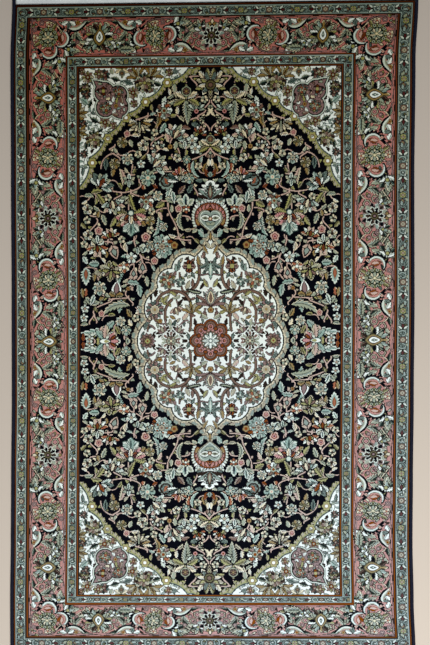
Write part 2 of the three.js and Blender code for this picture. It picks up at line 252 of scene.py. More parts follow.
MOTIFS = {
    # round flowers
    "gold bud": (Round(1, "umber", 5, .2), Round(.8, "gold", 5, .2), Round(.35, "rust")),
    "rose bud": (Round(1, "blush", 5, .25), Round(.66, "rust", 5, .3), Round(.45, "pink", 5, .3),
        Round(.2, "wine")),
    "aqua rosette": (Fan(.24, .76, .42, 11, 180, ("aqua", "ice", "rust", "ice", "aqua")),
        Fan(.1, .5, .3, 9, 180, ("mist", "ice", "aqua"), "slate"), Dots(.44, .09, 5, "rust", 15),
        Round(.32, "umber", 8, .2), Round(.26, "tan", 6, .3), Round(.12, "brown")),
    "teal rosette": (Fan(.2, .85, .55, 8, 180, ("aqua", "sage")), Round(.48, "teal", 7, .3),
        Round(.36, "aqua"), Round(.22, "cream"), Round(.1, "pink")),
    "brown rosette": (Fan(.2, .84, .6, 8, 180, ("ivory", "brown", "ivory", "copper")),
        Round(.5, "umber", 6, .3), Round(.42, "sage", 6, .3), Round(.2, "rust")),
    "gold rosette": (Fan(.2, .82, .5, 9, 180, ("olive", "gold", "tan")), Round(.4, "umber"),
        Round(.3, "olive")),
    "white star": (Fan(.1, .95, .56, 5, 180, ("ice", "ivory")), Round(.42, "umber", 5, .3),
        Round(.32, "tan"), Round(.14, "copper")),
    "orange star": (Fan(.1, .95, .56, 6, 180, ("cream", "copper")), Round(.42, "slate", 5, .3),
        Round(.26, "ivory")),
    "grey star": (Fan(.1, .95, .56, 8, 180, ("mist", "cream")), Round(.55, "umber", 6, .2),
        Round(.46, "tan", 6, .3), Round(.22, "slate")),
    "pale floret": (Fan(.1, .9, .6, 5, 180, ("cream", "sage")), Round(.3, "umber")),
    "pink floret": (Fan(.1, .9, .6, 6, 180, ("blush", "cream")), Round(.3, "copper")),
    "grey floret": (Round(1, "umber", 5, .3), Dots(.55, .3, 5, "mauve"), Round(.3, "umber"),
        Round(.2, "blush")),
    "ring floret": (Round(1, "umber", 6, .15), Round(.8, "tan", 6, .2), Round(.56, "umber"),
        Round(.44, "pink", 4, .4), Round(.16, "umber")),
    "dark star": (Fan(.1, .92, .34, 13, 180, ("forest", "olive", "umber", "sage")),
        Fan(.1, .56, .3, 7, 180, ("brown", "tan", "olive"), "umber"), Round(.22, "umber"),
        Round(.14, "moss")),
    "garnet flower": (Fan(.2, .84, .4, 9, 180, ("forest", "brown", "teal")), Round(.56, "umber", 7, .3),
        Round(.46, "wine", 6, .3), Round(.3, "brown", 6, .3), Round(.14, "sage")),
    "copper flower": (Fan(.2, .84, .44, 8, 180, ("olive", "brown", "tan")), Round(.5, "umber", 6, .3),
        Round(.38, "rust", 5, .3), Round(.18, "sage")),
    "wine flower": (Round(1, "umber", 7, .35), Fan(.24, .7, .5, 4, 180, ("rust", "mauve"), "umber"),
        Round(.42, "umber"), Round(.34, "moss")),
    "shaggy flower": (Fan(.3, .76, .34, 11, 180, ("slate", "brown", "olive"), "umber"),
        Round(.7, "umber", 9, .3), Fan(.16, .5, .24, 9, 180, ("tan", "copper", "sage"), "umber"),
        Round(.22, "umber"), Round(.14, "cream")),
    "blue flower": (Round(1, "umber", 6, .4), Fan(.1, .74, .3, 6, 180, ("slate", "mist"), "umber"),
        Round(.24, "umber"), Round(.16, "ice")),
    "tan flower": (Fan(.3, .72, .22, 15, 180, ("slate", "mauve"), "umber"), Round(.6, "umber", 13, .3),
        Round(.52, "cream", 9, .2), Round(.42, "tan"), Round(.16, "gold")),
    "cup flower": (Fan(.2, .8, .28, 11, 180, ("mauve", "brown"), "umber"), Round(.66, "umber", 7, .3),
        Round(.56, "brown", 7, .3), Round(.4, "umber"), Round(.32, "moss"), Round(.14, "rust")),
    "ring flower": (Fan(.5, .62, .22, 14, 180, ("brown", "umber", "sage"), "ivory"),
        Round(.64, "umber", 9, .2), Round(.56, "tan", 9, .2), Round(.44, "umber"), Round(.38, "ivory"),
        Fan(.1, .34, .2, 6, 180, ("brown", "sage"), "umber"), Round(.14, "cream")),
    "cusp flower": (Round(1, "umber", 6, .3), Round(.86, "moss", 6, .3), Round(.54, "gold", 6, .3),
        Round(.28, "ivory")),
    "hook floret": (Round(.9, "umber"), Round(.65, "blush"), Round(.25, "copper")),
    "guard rosette": (Round(.7, "umber", 8, .3), Round(.58, "brown", 8, .3), Round(.42, "umber", 8, .3),
        Round(.34, "tan", 8, .3), Round(.14, "umber", 8, .3)),
    "guard oval": (Round(.62, "umber", 6, .35), Round(.5, "moss", 6, .35), Round(.34, "umber", 6, .35),
        Round(.24, "tan", 6, .35), Round(.12, "rust", 6, .35)),
    "guard flower": (Round(.5, "umber", 5, .25), Round(.38, "brown", 5, .3), Round(.18, "moss")),
    "heart flower": (Round(1, "umber", 6, .3), Round(.76, "copper", 6, .3), Round(.36, "cream", 6, .3)),
    # flowers seen from the side, which point along
    "gold lotus": (Fan(-.9, 1.8, .3, 5, 44, ("olive", "tan", "gold"), "umber"),
        Blade(-.7, 1.3, .34, "gold", 4), Blade(-.6, .9, .14, "umber")),
    "cream lotus": (Fan(-.8, 1.6, .28, 9, 84, ("cream", "moss", "cream", "gold", "cream")),
        Fan(-.6, 1.1, .2, 5, 50, ("tan", "cream"), "umber"), Blade(-.9, 1, .26, "forest"),
        Blade(-.8, .8, .12, "sage")),
    "pink lotus": (Fan(-.6, 1.45, .4, 9, 96, ("cream", "pink", "gold", "pink", "moss")),
        Fan(-.5, 1.1, .34, 7, 60, ("ivory", "mauve", "pink", "cream")),
        Fan(-.1, 1.1, .42, 3, 24, ("aqua", "ice"), "teal"), Blade(.1, .7, .14, "teal"),
        Fan(-.8, .9, .24, 3, 26, ("cream", "wine")), Round(.26, "teal", 5, .2, -.78),
        Round(.16, "ice", 0, 0, -.78)),
    "striped fan": (Fan(-.9, 1.8, .4, 7, 62, ("sage", "ivory", "blush", "ice")),
        Fan(-1, 1.1, .26, 5, 40, ("cream", "brown", "mist"))),
    "blue fan": (Fan(-.9, 1.8, .44, 7, 66, ("mist", "sage", "slate", "ice")),
        Fan(-.9, 1.1, .3, 3, 30, ("rust", "ivory"))),
    "red fan": (Fan(-.9, 1.8, .44, 6, 60, ("blush", "ivory", "copper", "cream")),
        Fan(-.9, 1, .3, 3, 30, ("rust", "moss"))),
    "spiky fan": (Fan(-.9, 1.8, .34, 7, 66, ("sage", "mist", "ice")), Round(.34, "pink", 0, 0, -1.05),
        Round(.2, "rust", 0, 0, -1.05)),
    "aqua tulip": (Fan(-1, 2, .62, 3, 30, ("aqua", "sage"), "ice"), Blade(-.7, 1.4, .26, "navy")),
    "pale tulip": (Fan(-1, 2, .6, 3, 36, ("ice", "sage")), Blade(-.8, 1.5, .2, "teal")),
    "bell": (Blade(-1, 2, 1.3, "blush", 0, .8), Blade(-.86, 1.7, .86, "umber", 0, .8),
        Blade(-.8, 1.3, .6, "mist", 0, .8), Fan(-1.1, 1.1, .24, 2, 30, ("blush",))),
    "brown tulip": (Blade(-1, 2, 1.3, "ivory", 0, .8), Blade(-.9, 1.8, .8, "umber", 0, .8),
        Blade(-.8, 1.6, .5, "mauve", 0, .8), Fan(-1, 1.1, .5, 2, 58, ("gold", "ice"))),
    "crest": (Fan(-1, 2, .5, 5, 100, ("moss", "cream")), Round(.74, "night", 6, .1),
        Round(.64, "sage", 6, .1), Round(.52, "umber", 5, .1), Dots(.3, .12, 6, "brown"),
        Round(.14, "gold")),
    "great lotus": (Fan(-.3, 1.3, .26, 11, 150, ("gold", "cream", "moss", "tan", "cream", "olive")),
        Fan(-.2, .95, .2, 9, 140, ("moss", "slate", "cream"), "umber"), Round(.44, "umber", 9, .1, -.1),
        Round(.34, "olive", 9, .2, -.1), Round(.24, "umber", 6, .2, -.1), Round(.16, "brown", 6, .3, -.1)),
    "side palmette": (Fan(-.3, 1.3, .36, 7, 112, ("pink", "ice", "blush", "aqua", "pink")),
        Fan(.1, .9, .42, 3, 46, ("ice", "pink")), Fan(.1, .7, .2, 3, 30, ("pink", "rust")),
        Blade(-.76, .96, .46, "teal"), Blade(-.68, .8, .32, "ivory"), Blade(-.36, .4, .2, "moss")),
    "curled palmette": (Round(1, "umber", 9, .2), Round(.92, "mist", 9, .24), Round(.7, "umber", 0, 0, .1),
        Round(.54, "slate", 6, .3, .1), Round(.26, "umber"), Blade(-.3, .8, .34, "copper")),
    "red crown": (Fan(-.8, 1.7, .36, 7, 74, ("sage", "ivory", "teal", "ivory")),
        Fan(-.1, 1, .3, 5, 60, ("copper", "pink"))),
    "leafy flower": (Fan(-1, 2, .44, 5, 54, ("sage", "forest", "sage")),
        Fan(-1, 1.3, .3, 3, 40, ("mist", "ivory")), Round(.26, "umber", 0, 0, -.5),
        Round(.18, "moss", 0, 0, -.5)),
    "half palmette": (Fan(-.7, 1.5, .3, 5, 50, ("tan", "brown", "blush"), "umber"),
        Blade(-.7, 1, .4, "umber"), Blade(-.6, .8, .24, "cream")),
    "mauve lotus": (Fan(-1, 1.9, .2, 7, 64, ("mauve", "slate", "brown"), "umber"),
        Blade(-.9, 1.76, 1.2, "umber", 9, .7), Blade(-.84, 1.62, 1.04, "mauve", 9, .7),
        Blade(-.8, 1.46, .84, "mist", 0, .8), Blade(-.76, 1.32, .68, "umber", 0, .8),
        Blade(-.72, 1.2, .54, "cream", 0, .8), Blade(-.66, 1, .32, "brown", 0, .8)),
    "finial": (Blade(-1, 2, 2, "umber", 5, .5), Blade(-.96, 1.9, 1.86, "ivory", 5, .5),
        Fan(-.8, 1.5, .18, 7, 60, ("umber", "ivory", "mist"), "umber"),
        Blade(-.86, 1.66, 1, "umber", 5, .7), Blade(-.8, 1.5, .8, "slate", 5, .7),
        Blade(-.76, 1.36, .56, "umber", 4, .7), Blade(-.66, 1.1, .34, "brown", 0, .8),
        Blade(-.5, .8, .14, "sage")),
    # leaves
    "red heart leaf": (Blade(-1, 2.1, 1.1, "ice", 6, .8), Blade(-.9, 1.7, .8, "aqua", 0, .8),
        Blade(-.8, 1.3, .46, "rust"), Blade(-.7, 1, .24, "copper")),
    "maple": (Fan(-.8, 1.7, .62, 5, 80, ("tan", "cream")), Fan(-.6, 1.2, .2, 5, 70, ("moss", "brown"))),
    "dark feather": (Blade(-1, 2, .6, "night", 9, .6, 24), Blade(-.9, 1.8, .3, "forest", 0, .7, 24),
        Blade(-.8, 1.5, .1, "sage", 0, 1, 24)),
    "hanging leaves": (Fan(-.9, 1.5, .26, 5, 44, ("aqua", "slate", "teal"), "umber"),
        Blade(-.8, 1.9, .56, "umber", 7, .7), Blade(-.74, 1.7, .42, "aqua", 5, .7),
        Blade(-.5, 1.1, .14, "ice")),
    "spiky leaf": (Fan(-.8, 1.5, .2, 7, 84, ("umber", "brown", "umber"), "ivory"),
        Fan(-.7, 1, .2, 3, 40, ("tan", "mauve"), "umber")),
    # the large ones of the border and the medallion's middle
    "border rosette": (Round(1, "forest", 10, .14), Dots(.8, .15, 10, "sage", 18),
        Dots(.8, .07, 10, "forest", 18), Dots(.88, .07, 10, "moss"), Dots(.62, .08, 10, "moss"),
        Fan(.1, .46, .12, 10, 180, ("cream", "sage"), "forest"), Round(.14, "moss"), Round(.08, "cream")),
    "diamond palmette": (
        Fan(.3, 1.3, .3, 14, 180, ("sage", "mist", "forest", "ivory", "moss", "sage", "umber"), "umber"),
        Fan(.3, 1, .24, 8, 180, ("night", "sage"), "forest"), Blade(-1.1, 2.2, 1.5, "umber", 0, 1.1),
        Blade(-1.02, 2.04, 1.32, "olive", 0, 1.1), Blade(-.9, 1.8, 1.14, "gold", 0, 1.1),
        Blade(-.74, 1.48, .9, "umber", 0, 1.1), Blade(-.6, 1.2, .7, "ivory", 0, .9),
        Blade(-.36, .72, .3, "slate"), Round(.08, "ice"), Blade(.9, .6, .2, "gold")),
    "pointed palmette": (Fan(.3, .8, .26, 14, 180, ("night", "sage", "umber", "mist"), "mauve"),
        Fan(.2, .54, .22, 10, 180, ("night", "umber"), "ice"), Round(.38, "umber", 8, .3),
        Round(.3, "olive", 8, .4), Round(.2, "umber"), Round(.1, "mauve"),
        Fan(1, .36, .14, 3, 80, ("cream", "gold"), "umber"), Round(.16, "umber", 0, 0, -1.05),
        Round(.12, "gold", 5, .3, -1.05)),
    "star rosette": (Dots(.67, .34, 8, "umber"), Dots(.67, .31, 8, "rust"), Round(.8, "rust"),
        Dots(.65, .27, 8, "umber"), Dots(.64, .245, 8, "brown"), Round(.7, "brown"),
        Dots(.64, .15, 8, "umber"), Dots(.64, .12, 8, "pink"), Dots(.64, .08, 8, "umber"),
        Dots(.66, .045, 8, "copper"), Dots(.6, .1, 8, "umber", 22.5), Dots(.6, .07, 8, "rust", 22.5),
        Dots(.49, .045, 16, "pink", 11.25), Round(.44, "umber", 8, .3), Round(.41, "brown", 8, .3),
        Fan(.02, .35, .1, 8, 180, ("ivory",), "teal"), Dots(.27, .045, 8, "teal", 22.5),
        Dots(.36, .03, 8, "ice", 22.5), Round(.1, "teal"), Round(.06, "ivory")),
}


def paint(chart, name, place, size):
    """Paints a motif's coats in turn."""
    for coat in MOTIFS[name]:
        if isinstance(coat, Round):
            at = beside(place, size * coat.at, 0)
            bloom(chart, at, size * coat.share, coat.yarn, coat.petals, coat.depth)
        elif isinstance(coat, Blade):
            start = beside(place, size * coat.start, 0)
            length, width = size * coat.share, size * coat.fat
            blade(chart, start, length, width, coat.yarn, coat.bend, coat.teeth, coat.blunt)
        elif isinstance(coat, Fan):
            fan(chart, place, size, coat)
        else:
            for i in range(coat.count):
                angle = math.radians(coat.start + 360 * i / coat.count)
                at = beside(place, size * coat.share * math.cos(angle), size * coat.share * math.sin(angle))
                bloom(chart, at, size * coat.size, coat.yarn)


def fan(chart, place, size, coat):
    """Petals set all round a place, or spread to both sides of the way it points, from the outer ones to
    the middle ones."""
    ring = coat.spread >= 180
    length = size * coat.share
    width = max(size * coat.fat, 4.0) * 1.3
    teeth = max(int(length / 5), 2)
    # each petal goes with how far it stands from the middle one, in half steps
    petals = [(abs(2 * i - coat.count + 1), i) for i in range(coat.count)]
    for rank, i in sorted(petals, key=lambda petal: -petal[0]):
        if ring:
            at = beside(beside(place, 0, 0, 360 * i / coat.count), size * coat.start, 0)
            yarn, bend, reach = coat.yarns[i % len(coat.yarns)], 0, length
        else:
            lean = 2 * i / (coat.count - 1) - 1
            at = beside(place, size * coat.start, 0, coat.spread * lean)
            yarn, bend = coat.yarns[rank // 2 % len(coat.yarns)], 34 * lean
            reach = length * (0.94 - 0.12 * (rank % 4 == 2))
        blade(chart, at, reach, width, yarn, bend, teeth, 0.7, 0, coat.edge or chart.outline, full=True,
              belly=1.3)


Vine = namedtuple("Vine", "across up leave to_across to_up arrive width", defaults=(2.0,))
At = namedtuple("At", "motif across up size turn", defaults=(90.0,))
Leaf = namedtuple("Leaf", "yarn across up length width turn bend teeth", defaults=(0.0, 0))


def vine_line(vine):
    """Smooth curve from one place to another with a given heading at each end (Hermite cubic)."""
    a = np.array([vine.across, vine.up], float)
    b = np.array([vine.to_across, vine.to_up], float)
    pull = 1.15 * np.hypot(*(b - a))
    u = pull * np.array([math.cos(math.radians(vine.leave)), math.sin(math.radians(vine.leave))])
    v = pull * np.array([math.cos(math.radians(vine.arrive)), math.sin(math.radians(vine.arrive))])
    t = np.linspace(0, 1, max(int(2.8 * pull), 4))[:, None]
    return ((2 * t ** 3 - 3 * t ** 2 + 1) * a + (t ** 3 - 2 * t ** 2 + t) * u
            + (3 * t ** 2 - 2 * t ** 3) * b + (t ** 3 - t ** 2) * v)


def lengths_along(line):
    """How far along a line each of its points lies."""
    return np.concatenate([[0], np.cumsum(np.hypot(*np.diff(line, axis=0).T))])


def sprigs(chart, line, yarns, spacing=15.0, length=9.0):
    """Small leaves to both sides of a vine by turns, at even steps along it."""
    steps = lengths_along(line)
    for i, at in enumerate(np.arange(spacing * 0.5, steps[-1] - 3, spacing)):
        k = min(int(np.searchsorted(steps, at)), len(line) - 2)
        across, up = line[k]
        ahead = math.degrees(math.atan2(*(line[k + 1] - line[k])[::-1]))
        side = 1 if i % 2 else -1
        grown = length * (0.8 + 0.4 * abs(math.sin(at * 1.7 + across)))
        yarn = yarns[int(at * 7 + up) % len(yarns)]
        leaf(chart, Place(across, up, ahead + side * 38), grown, grown * 0.55, yarn, side * 50, 2)


def strap(chart, vine, edge, fill):
    """A broad stem: an edge, a fill and dark nicks along one side."""
    line = vine_line(vine)
    chart.stroke(line, vine.width + 2.2, edge)
    chart.stroke(line, vine.width, fill)
    if vine.width > 2.8:
        ahead = np.gradient(line, axis=0)
        ahead /= np.hypot(*ahead.T)[:, None]
        nicks = line[::9] + ahead[::9, ::-1] * [-1, 1] * vine.width * 0.35
        chart.stroke(nicks, 1.3, edge)


def plant(chart, leaves, motifs, scale=1.0):
    """Leaves placed by the middle of their arc, and then motifs."""
    for item in leaves:
        middle = Place(item.across, item.up, item.turn)
        sag = item.length * math.tan(math.radians(item.bend) / 8)
        start = beside(middle, -item.length / 2, -sag, -item.bend / 2)
        leaf(chart, start, item.length, item.width, item.yarn, item.bend, item.teeth)
    for item in motifs:
        paint(chart, item.motif, Place(item.across, item.up, item.turn), item.size * scale)


def bare(chart, place, reach, ground):
    """Whether every knot within reach of a place still has the ground's yarn."""
    knots, along, out = chart.window(place, reach)
    near = np.hypot(along, out) <= reach
    whole = near.sum() > 0.8 * math.pi * reach ** 2
    return knots.size > 0 and whole and bool((knots[near] == NUMBER[ground]).all())


# Flowers and leaves that go into bare ground which reaches that far round a place
Filler = namedtuple("Filler", "reach motifs leaves")


def fill_gaps(chart, box, ground, fillers, step=3, stem=None):
    """Wherever bare ground is wide enough, a small flower or a leaf is set, the larger ones first. A stem
    shows only over knots of the outline's yarn."""
    low_x, low_y, high_x, high_y = box
    count = 0
    for filler in fillers:
        reach = filler.reach
        for up in np.arange(low_y, high_y, step):
            for across in np.arange(low_x, high_x, step):
                place = Place(float(across), float(up), (across * 37 + up * 91) % 360)
                if not bare(chart, place, reach, ground):
                    continue
                count += 1
                if filler.motifs and count % 2:
                    paint(chart, filler.motifs[count // 2 % len(filler.motifs)], place, reach * 0.86)
                else:
                    start = beside(place, -reach * 0.7, -reach * 0.3, -40)
                    yarn = filler.leaves[count % len(filler.leaves)]
                    leaf(chart, start, reach * 1.75, reach * 0.95, yarn, 90, 3, 0.2)
                if stem:
                    foot = beside(place, -reach * 0.8, -reach * 0.3)
                    away = beside(foot, -reach * 1.5, reach * 0.9)
                    line = vine_line(Vine(*foot[:2], place.turn + 200, *away[:2], place.turn + 110))
                    chart.stroke(line, 1.7, stem, chart.outline)


# Corners of the quarter's bands, by column and row
Corner = namedtuple("Corner", "column row")
FIELD = Corner(260, 530)
INNER_GUARD = (Corner(266, 534), Corner(284, 552))
BORDER = (Corner(289, 556), Corner(361, 628))
OUTER_GUARD = (Corner(367, 632), Corner(389, 654))
RUG = Corner(396, 660)
FIELD_BOX = (0, 0, 262, 532)

# The borders' grounds and lines, from the outermost one inwards: each reaches as far as its corner
Band = namedtuple("Band", "column row yarn")
BANDS = (
    Band(*RUG, "umber"), Band(394, 658, "rust"), Band(391, 656, "umber"), Band(389, 654, "sky"),
    Band(387, 652, "slate"), Band(370, 635, "sky"), Band(368, 633, "umber"), Band(365, 630, "rust"),
    Band(363, 629, "umber"), Band(361, 628, "rose"), Band(289, 556, "umber"), Band(288, 555, "rust"),
    Band(286, 553, "umber"), Band(284, 552, "sky"), Band(282, 550, "slate"), Band(269, 537, "sky"),
    Band(267, 535, "umber"), Band(265, 533, "rust"), Band(263, 531, "umber"), Band(*FIELD, "night"),
)

# A unit of the main border, from its rosette: along runs to the diamond palmette, out to the rug's edge.
# Every line of a pair is drawn here and again turned by half round the rosette.
UNIT_VINES = (
    Vine(32, 11, 130, 2, 32.5, 175), Vine(2, 32.5, 175, -72, 31.5, 182),
    Vine(-72, 31.5, 182, -104, 20, 210), Vine(32, 8, 130, -2, 29.5, 175, 1.2),
    Vine(78, 20, 40, 100, 31, 10, 1.6), Vine(50, -24, 200, 60, -32, 300, 1.4),
    Vine(96, -30, 170, 62, -12, 160, 1.4), Vine(60, 30, 0, 88, 12, 300, 1.4),
)
UNIT_PAIRS = (
    At("pink floret", 1, 25, 6.5), At("grey floret", -15, 27, 6), At("ring floret", -84, 1, 8),
    At("ring floret", 93, 14, 9), At("grey floret", 88, -6, 7), At("leafy flower", 92, -21, 12, 250),
    At("leafy flower", 56, -25, 17, 350), At("gold bud", 65, 27, 5), At("grey floret", 66, -10, 5),
    At("grey floret", 78, 10, 5), At("leafy flower", -76, 20, 9, 60), At("grey floret", 104, 2, 5),
)
UNIT_LEAVES = (
    Leaf("olive", 13, 21, 13, 6, 60), Leaf("ivory", 36, 27, 13, 8, 20), Leaf("ivory", 53, 26, 14, 8, 150),
    Leaf("slate", 45, 22, 12, 7, 90), Leaf("sage", 72, -2, 34, 13, 300, 50, 5),
    Leaf("sage", -58, 25, 34, 14, 0, 0, 6), Leaf("rust", 27, -5, 15, 8, 300, -50, 3),
    Leaf("olive", -36, 21, 10, 6, 200), Leaf("sage", 103, 24, 12, 6, 30), Leaf("moss", 77, 12, 9, 5, 330),
    Leaf("mist", -100, 8, 12, 6, 190), Leaf("forest", 84, 28, 14, 6, 10, 20),
    Leaf("mauve", 50, 11, 14, 5, 20, -40), Leaf("forest", 70, -4, 20, 6, 310, 30),
)


ARC_STEPS = 60


def arc(place, radius, start, end):
    """Places on an arc round a place, from one angle to another."""
    angles = np.radians(np.linspace(start, end, ARC_STEPS))
    return [beside(place, radius * math.cos(angle), radius * math.sin(angle)) for angle in angles]


def spur(chart, base, vine, wide, yarn):
    """A stem that swells in its middle, laid from a place."""
    line = [beside(base, along, out) for along, out in vine_line(vine)]
    swell = np.sin(math.pi * np.linspace(0, 1, len(line)) ** 0.8)
    chart.stroke(line, 0.9 + wide * swell, yarn)


def hook(chart, place):
    """White hook curled before a rosette, with dark spines on its back, a small flower, and a spur."""
    belly = np.sin(math.pi * np.clip(0.06 + 0.9 * np.linspace(0, 1, ARC_STEPS), 0, 1)) ** 0.8
    middle = beside(place, 25, -3)
    for angle in range(76, -90, -20):
        out, up = 16 * math.cos(math.radians(angle)), 16 * math.sin(math.radians(angle))
        blade(chart, beside(middle, out, up, angle + 56), 12, 4.6, "night")
    chart.stroke(arc(middle, 17, 78, -120), belly * 5 + 1.6, "night")
    blade(chart, beside(middle, 2, 8, -50), 14, 4.6, "blush", -70, 3, 0.8, outline="rust")
    chart.stroke(arc(middle, 15.6, 74, -126), belly * 4.8 + 2, "forest")
    chart.stroke(arc(middle, 15, 70, -120), belly * 4.2, "frost")
    chart.stroke(arc(middle, 13.4, 56, -104), belly * 1.6, "sage")
    spur(chart, place, Vine(40, 15, 325, 78, 30, 62), 5, "night")
    spur(chart, place, Vine(42, 17.5, 330, 74, 29, 54), 3.6, "ice")
    spur(chart, place, Vine(45, 19, 340, 69, 27, 48), 1.8, "sage")
    paint(chart, "hook floret", beside(place, 34, 13), 4)


def border_unit(chart, across, up, turn, flip, halves=(0, 180), squeeze=1.0):
    """A rosette with its vines, hooks, leaves and flowers; the second half is the first one turned.
    Squeeze draws them in towards the rosette."""
    for half in halves:
        base = Place(across, up, turn + half, flip)
        for vine in UNIT_VINES:
            line = [beside(base, along * squeeze, out) for along, out in vine_line(vine)]
            chart.stroke(line, vine.width + 1.7, "umber")
            chart.stroke(line, vine.width, "mauve" if vine.width > 1.5 else "cream")
        for item in UNIT_LEAVES:
            middle = beside(base, item.across * squeeze, item.up, item.turn)
            start = beside(middle, -item.length / 2, 0, -item.bend / 2)
            leaf(chart, start, item.length, item.width, item.yarn, item.bend, item.teeth)
        for item in UNIT_PAIRS:
            paint(chart, item.motif, beside(base, item.across * squeeze, item.up, item.turn), item.size)
        hook(chart, base)
    paint(chart, "border rosette", Place(across, up, turn, flip), 20)


def main_border(chart):
    """Rosette units up the side and along the end, half a unit each way from the corner, and between them
    the palmettes."""
    chart.outline, chart.edge = "umber", 1.8
    middle, level = 325, 592
    border_unit(chart, middle, 120, 270, 1)
    border_unit(chart, middle, 357, 90, -1)
    border_unit(chart, 112, level, 0, 1, squeeze=0.94)
    border_unit(chart, middle, level, 180, -1, (0,), 0.9)
    border_unit(chart, middle, level, 270, 1, (0,))
    for up in (0, 474):
        paint(chart, "diamond palmette", Place(middle, up, 0), 17)
    paint(chart, "diamond palmette", Place(222, level, 90), 17)
    paint(chart, "pointed palmette", Place(middle, 240, 0), 23)
    paint(chart, "pointed palmette", Place(0, level, 90), 23)
    for box in ((BORDER[0].column, 0, *BORDER[1]), (0, BORDER[0].row, *BORDER[1])):
        fill_gaps(chart, box, "rose", ROSE_FILLERS)


def guard_run(chart, middle, half, length, sideways):
    """A narrow border: a wavy stem, on it small rosettes by turns with pointed ovals of three flowers, and
    to both sides of each rosette a curl with four leaves and a bud."""
    period = 56

    def at(along, out, turn=0.0):
        out = out * half / 11
        if sideways:
            return Place(along, middle + out, turn)
        return Place(middle + out, along, 90 - turn, -1)

    def petal(along, out, turn, length, width, yarn, bend, teeth=0):
        blade(chart, at(along, out, turn), length, width, yarn, bend, teeth, 0.8, outline="forest")

    stem = [at(along, 7 * math.cos(math.pi * along / period)) for along in range(length)]
    chart.stroke(stem, 4.6, "forest")
    chart.stroke(stem, 2.4, "ice")
    for k in range(-1, length // period + 2):
        here = k * period
        if k % 2:
            for inset, yarn in ((0, "forest"), (1, "sky"), (2.2, "forest"), (3.4, "slate")):
                start = at(here - 25 + inset, 0)
                blade(chart, start, 50 - 2 * inset, half * 2.1 - 2 * inset, yarn, blunt=0.6)
            for side in (-1, 1):
                paint(chart, "guard flower", at(here + side * 12, side * 1.5), half)
                petal(here + side * 6, -side * 5, 90 - 60 * side, 12, 4.4, "sage", side * 50, 3)
                petal(here + side * 20, side * 3, 90 + 70 * side, 9, 4, "sky", side * 40, 2)
            paint(chart, "guard oval", at(here, 0), half)
            continue
        paint(chart, "guard rosette", at(here, 0), half)
        for side in (-1, 1):
            spot = here + side * 26
            back = 90 - 90 * side
            curl = [at(spot - side * 13 + 5 * math.cos(a), side * (6.5 * math.sin(a) - 1))
                    for a in np.radians(np.arange(-80, 190, 6))]
            chart.stroke(curl, 4.2, "forest")
            chart.stroke(curl, 2.2, "sky")
            for out in (-1, 1):
                petal(spot - side * 5, out * 2, out * side * 34 + back, 9, 2.8, "ice", out * side * 30)
                petal(spot - side * 18, out * 7, out * side * 20 + back, 9, 4, "sage", out * 40, 2)
            blade(chart, at(spot - side * 2, 0, back), 8, 3.8, "wine", outline="umber")


# Straps, leaves and flowers of the medallion
STRAPS = (
    Vine(25, 158, 262, 38, 100, 330, 4.4), Vine(38, 100, 330, 56, 98, 40, 2.6),
    Vine(40, 74, 70, 74, 97.5, 0, 4.2), Vine(74, 97.5, 0, 108, 76, 290, 4.2),
    Vine(78, 80, 320, 90, 40, 258, 3.8), Vine(40, 60, 270, 42, 20, 285, 3.4),
    Vine(62, 132, 265, 56, 98, 250, 2.4), Vine(112, 46, 280, 98, 34, 190, 2.2),
    Vine(98, 34, 190, 80, 14, 240, 1.8), Vine(46, 40, 0, 66, 26, 320, 1.8), Vine(84, 100, 120, 84, 112, 80),
    Vine(90, 40, 258, 97, 24, 300, 1.8), Vine(12, 62, 150, 20, 46, 300, 1.4),
    Vine(112, 24, 60, 128, 34, 30), Vine(126, 20, 100, 122, 38, 130, 2.2),
    Vine(68, 78, 250, 66, 60, 290, 1.6), Vine(22, 128, 190, 4, 130, 180, 1.4),
)
MEDALLION_LEAVES = (
    Leaf("gold", 9, 178, 18, 6, 240, -30), Leaf("brown", 15, 166, 12, 5, 262, 40),
    Leaf("tan", 5, 186, 14, 6, 60), Leaf("umber", 14, 108, 18, 4, 130, 20),
    Leaf("gold", 24, 156, 18, 7, 80), Leaf("slate", 8, 152, 20, 5, 255, 10),
    Leaf("moss", 93, 79, 19, 10, 50, 10), Leaf("moss", 88, 82, 15, 6, 130, 20),
    Leaf("sage", 70, 88, 15, 6, 340, 60), Leaf("moss", 77, 90, 14, 5, 30, -60),
    Leaf("moss", 9, 113, 17, 6, 60, 20), Leaf("teal", 24, 79, 20, 5, 80, 30),
    Leaf("slate", 20, 70, 16, 5, 300, 30), Leaf("sage", 80, 31, 22, 8, 80),
    Leaf("teal", 73, 34, 14, 5, 120), Leaf("slate", 124, 30, 20, 6, 120, 60),
    Leaf("slate", 49, 9, 16, 5, 60, -60), Leaf("slate", 66, 147, 18, 6, 100, -30),
    Leaf("mist", 71, 142, 14, 5, 90, -30), Leaf("blush", 50, 48, 17, 7, 130),
    Leaf("sage", 62, 10, 13, 6, 100), Leaf("sage", 95, 10, 13, 6, 70), Leaf("sage", 12, 50, 15, 6, 40, 40),
    Leaf("moss", 24, 56, 12, 5, 20), Leaf("gold", 76, 46, 11, 5, 30), Leaf("umber", 60, 74, 13, 5, 130, 30),
    Leaf("umber", 100, 60, 9, 5, 240), Leaf("slate", 35, 128, 12, 5, 240),
    Leaf("tan", 45, 108, 17, 7, 110, 10), Leaf("brown", 37, 112, 15, 5, 90, -20),
    Leaf("umber", 108, 92, 12, 5, 110, 30), Leaf("mauve", 72, 130, 10, 5, 300),
    Leaf("umber", 52, 82, 11, 5, 30), Leaf("umber", 31, 36, 12, 5, 80), Leaf("slate", 136, 12, 12, 5, 110),
    Leaf("umber", 110, 12, 12, 5, 100, 60),
)
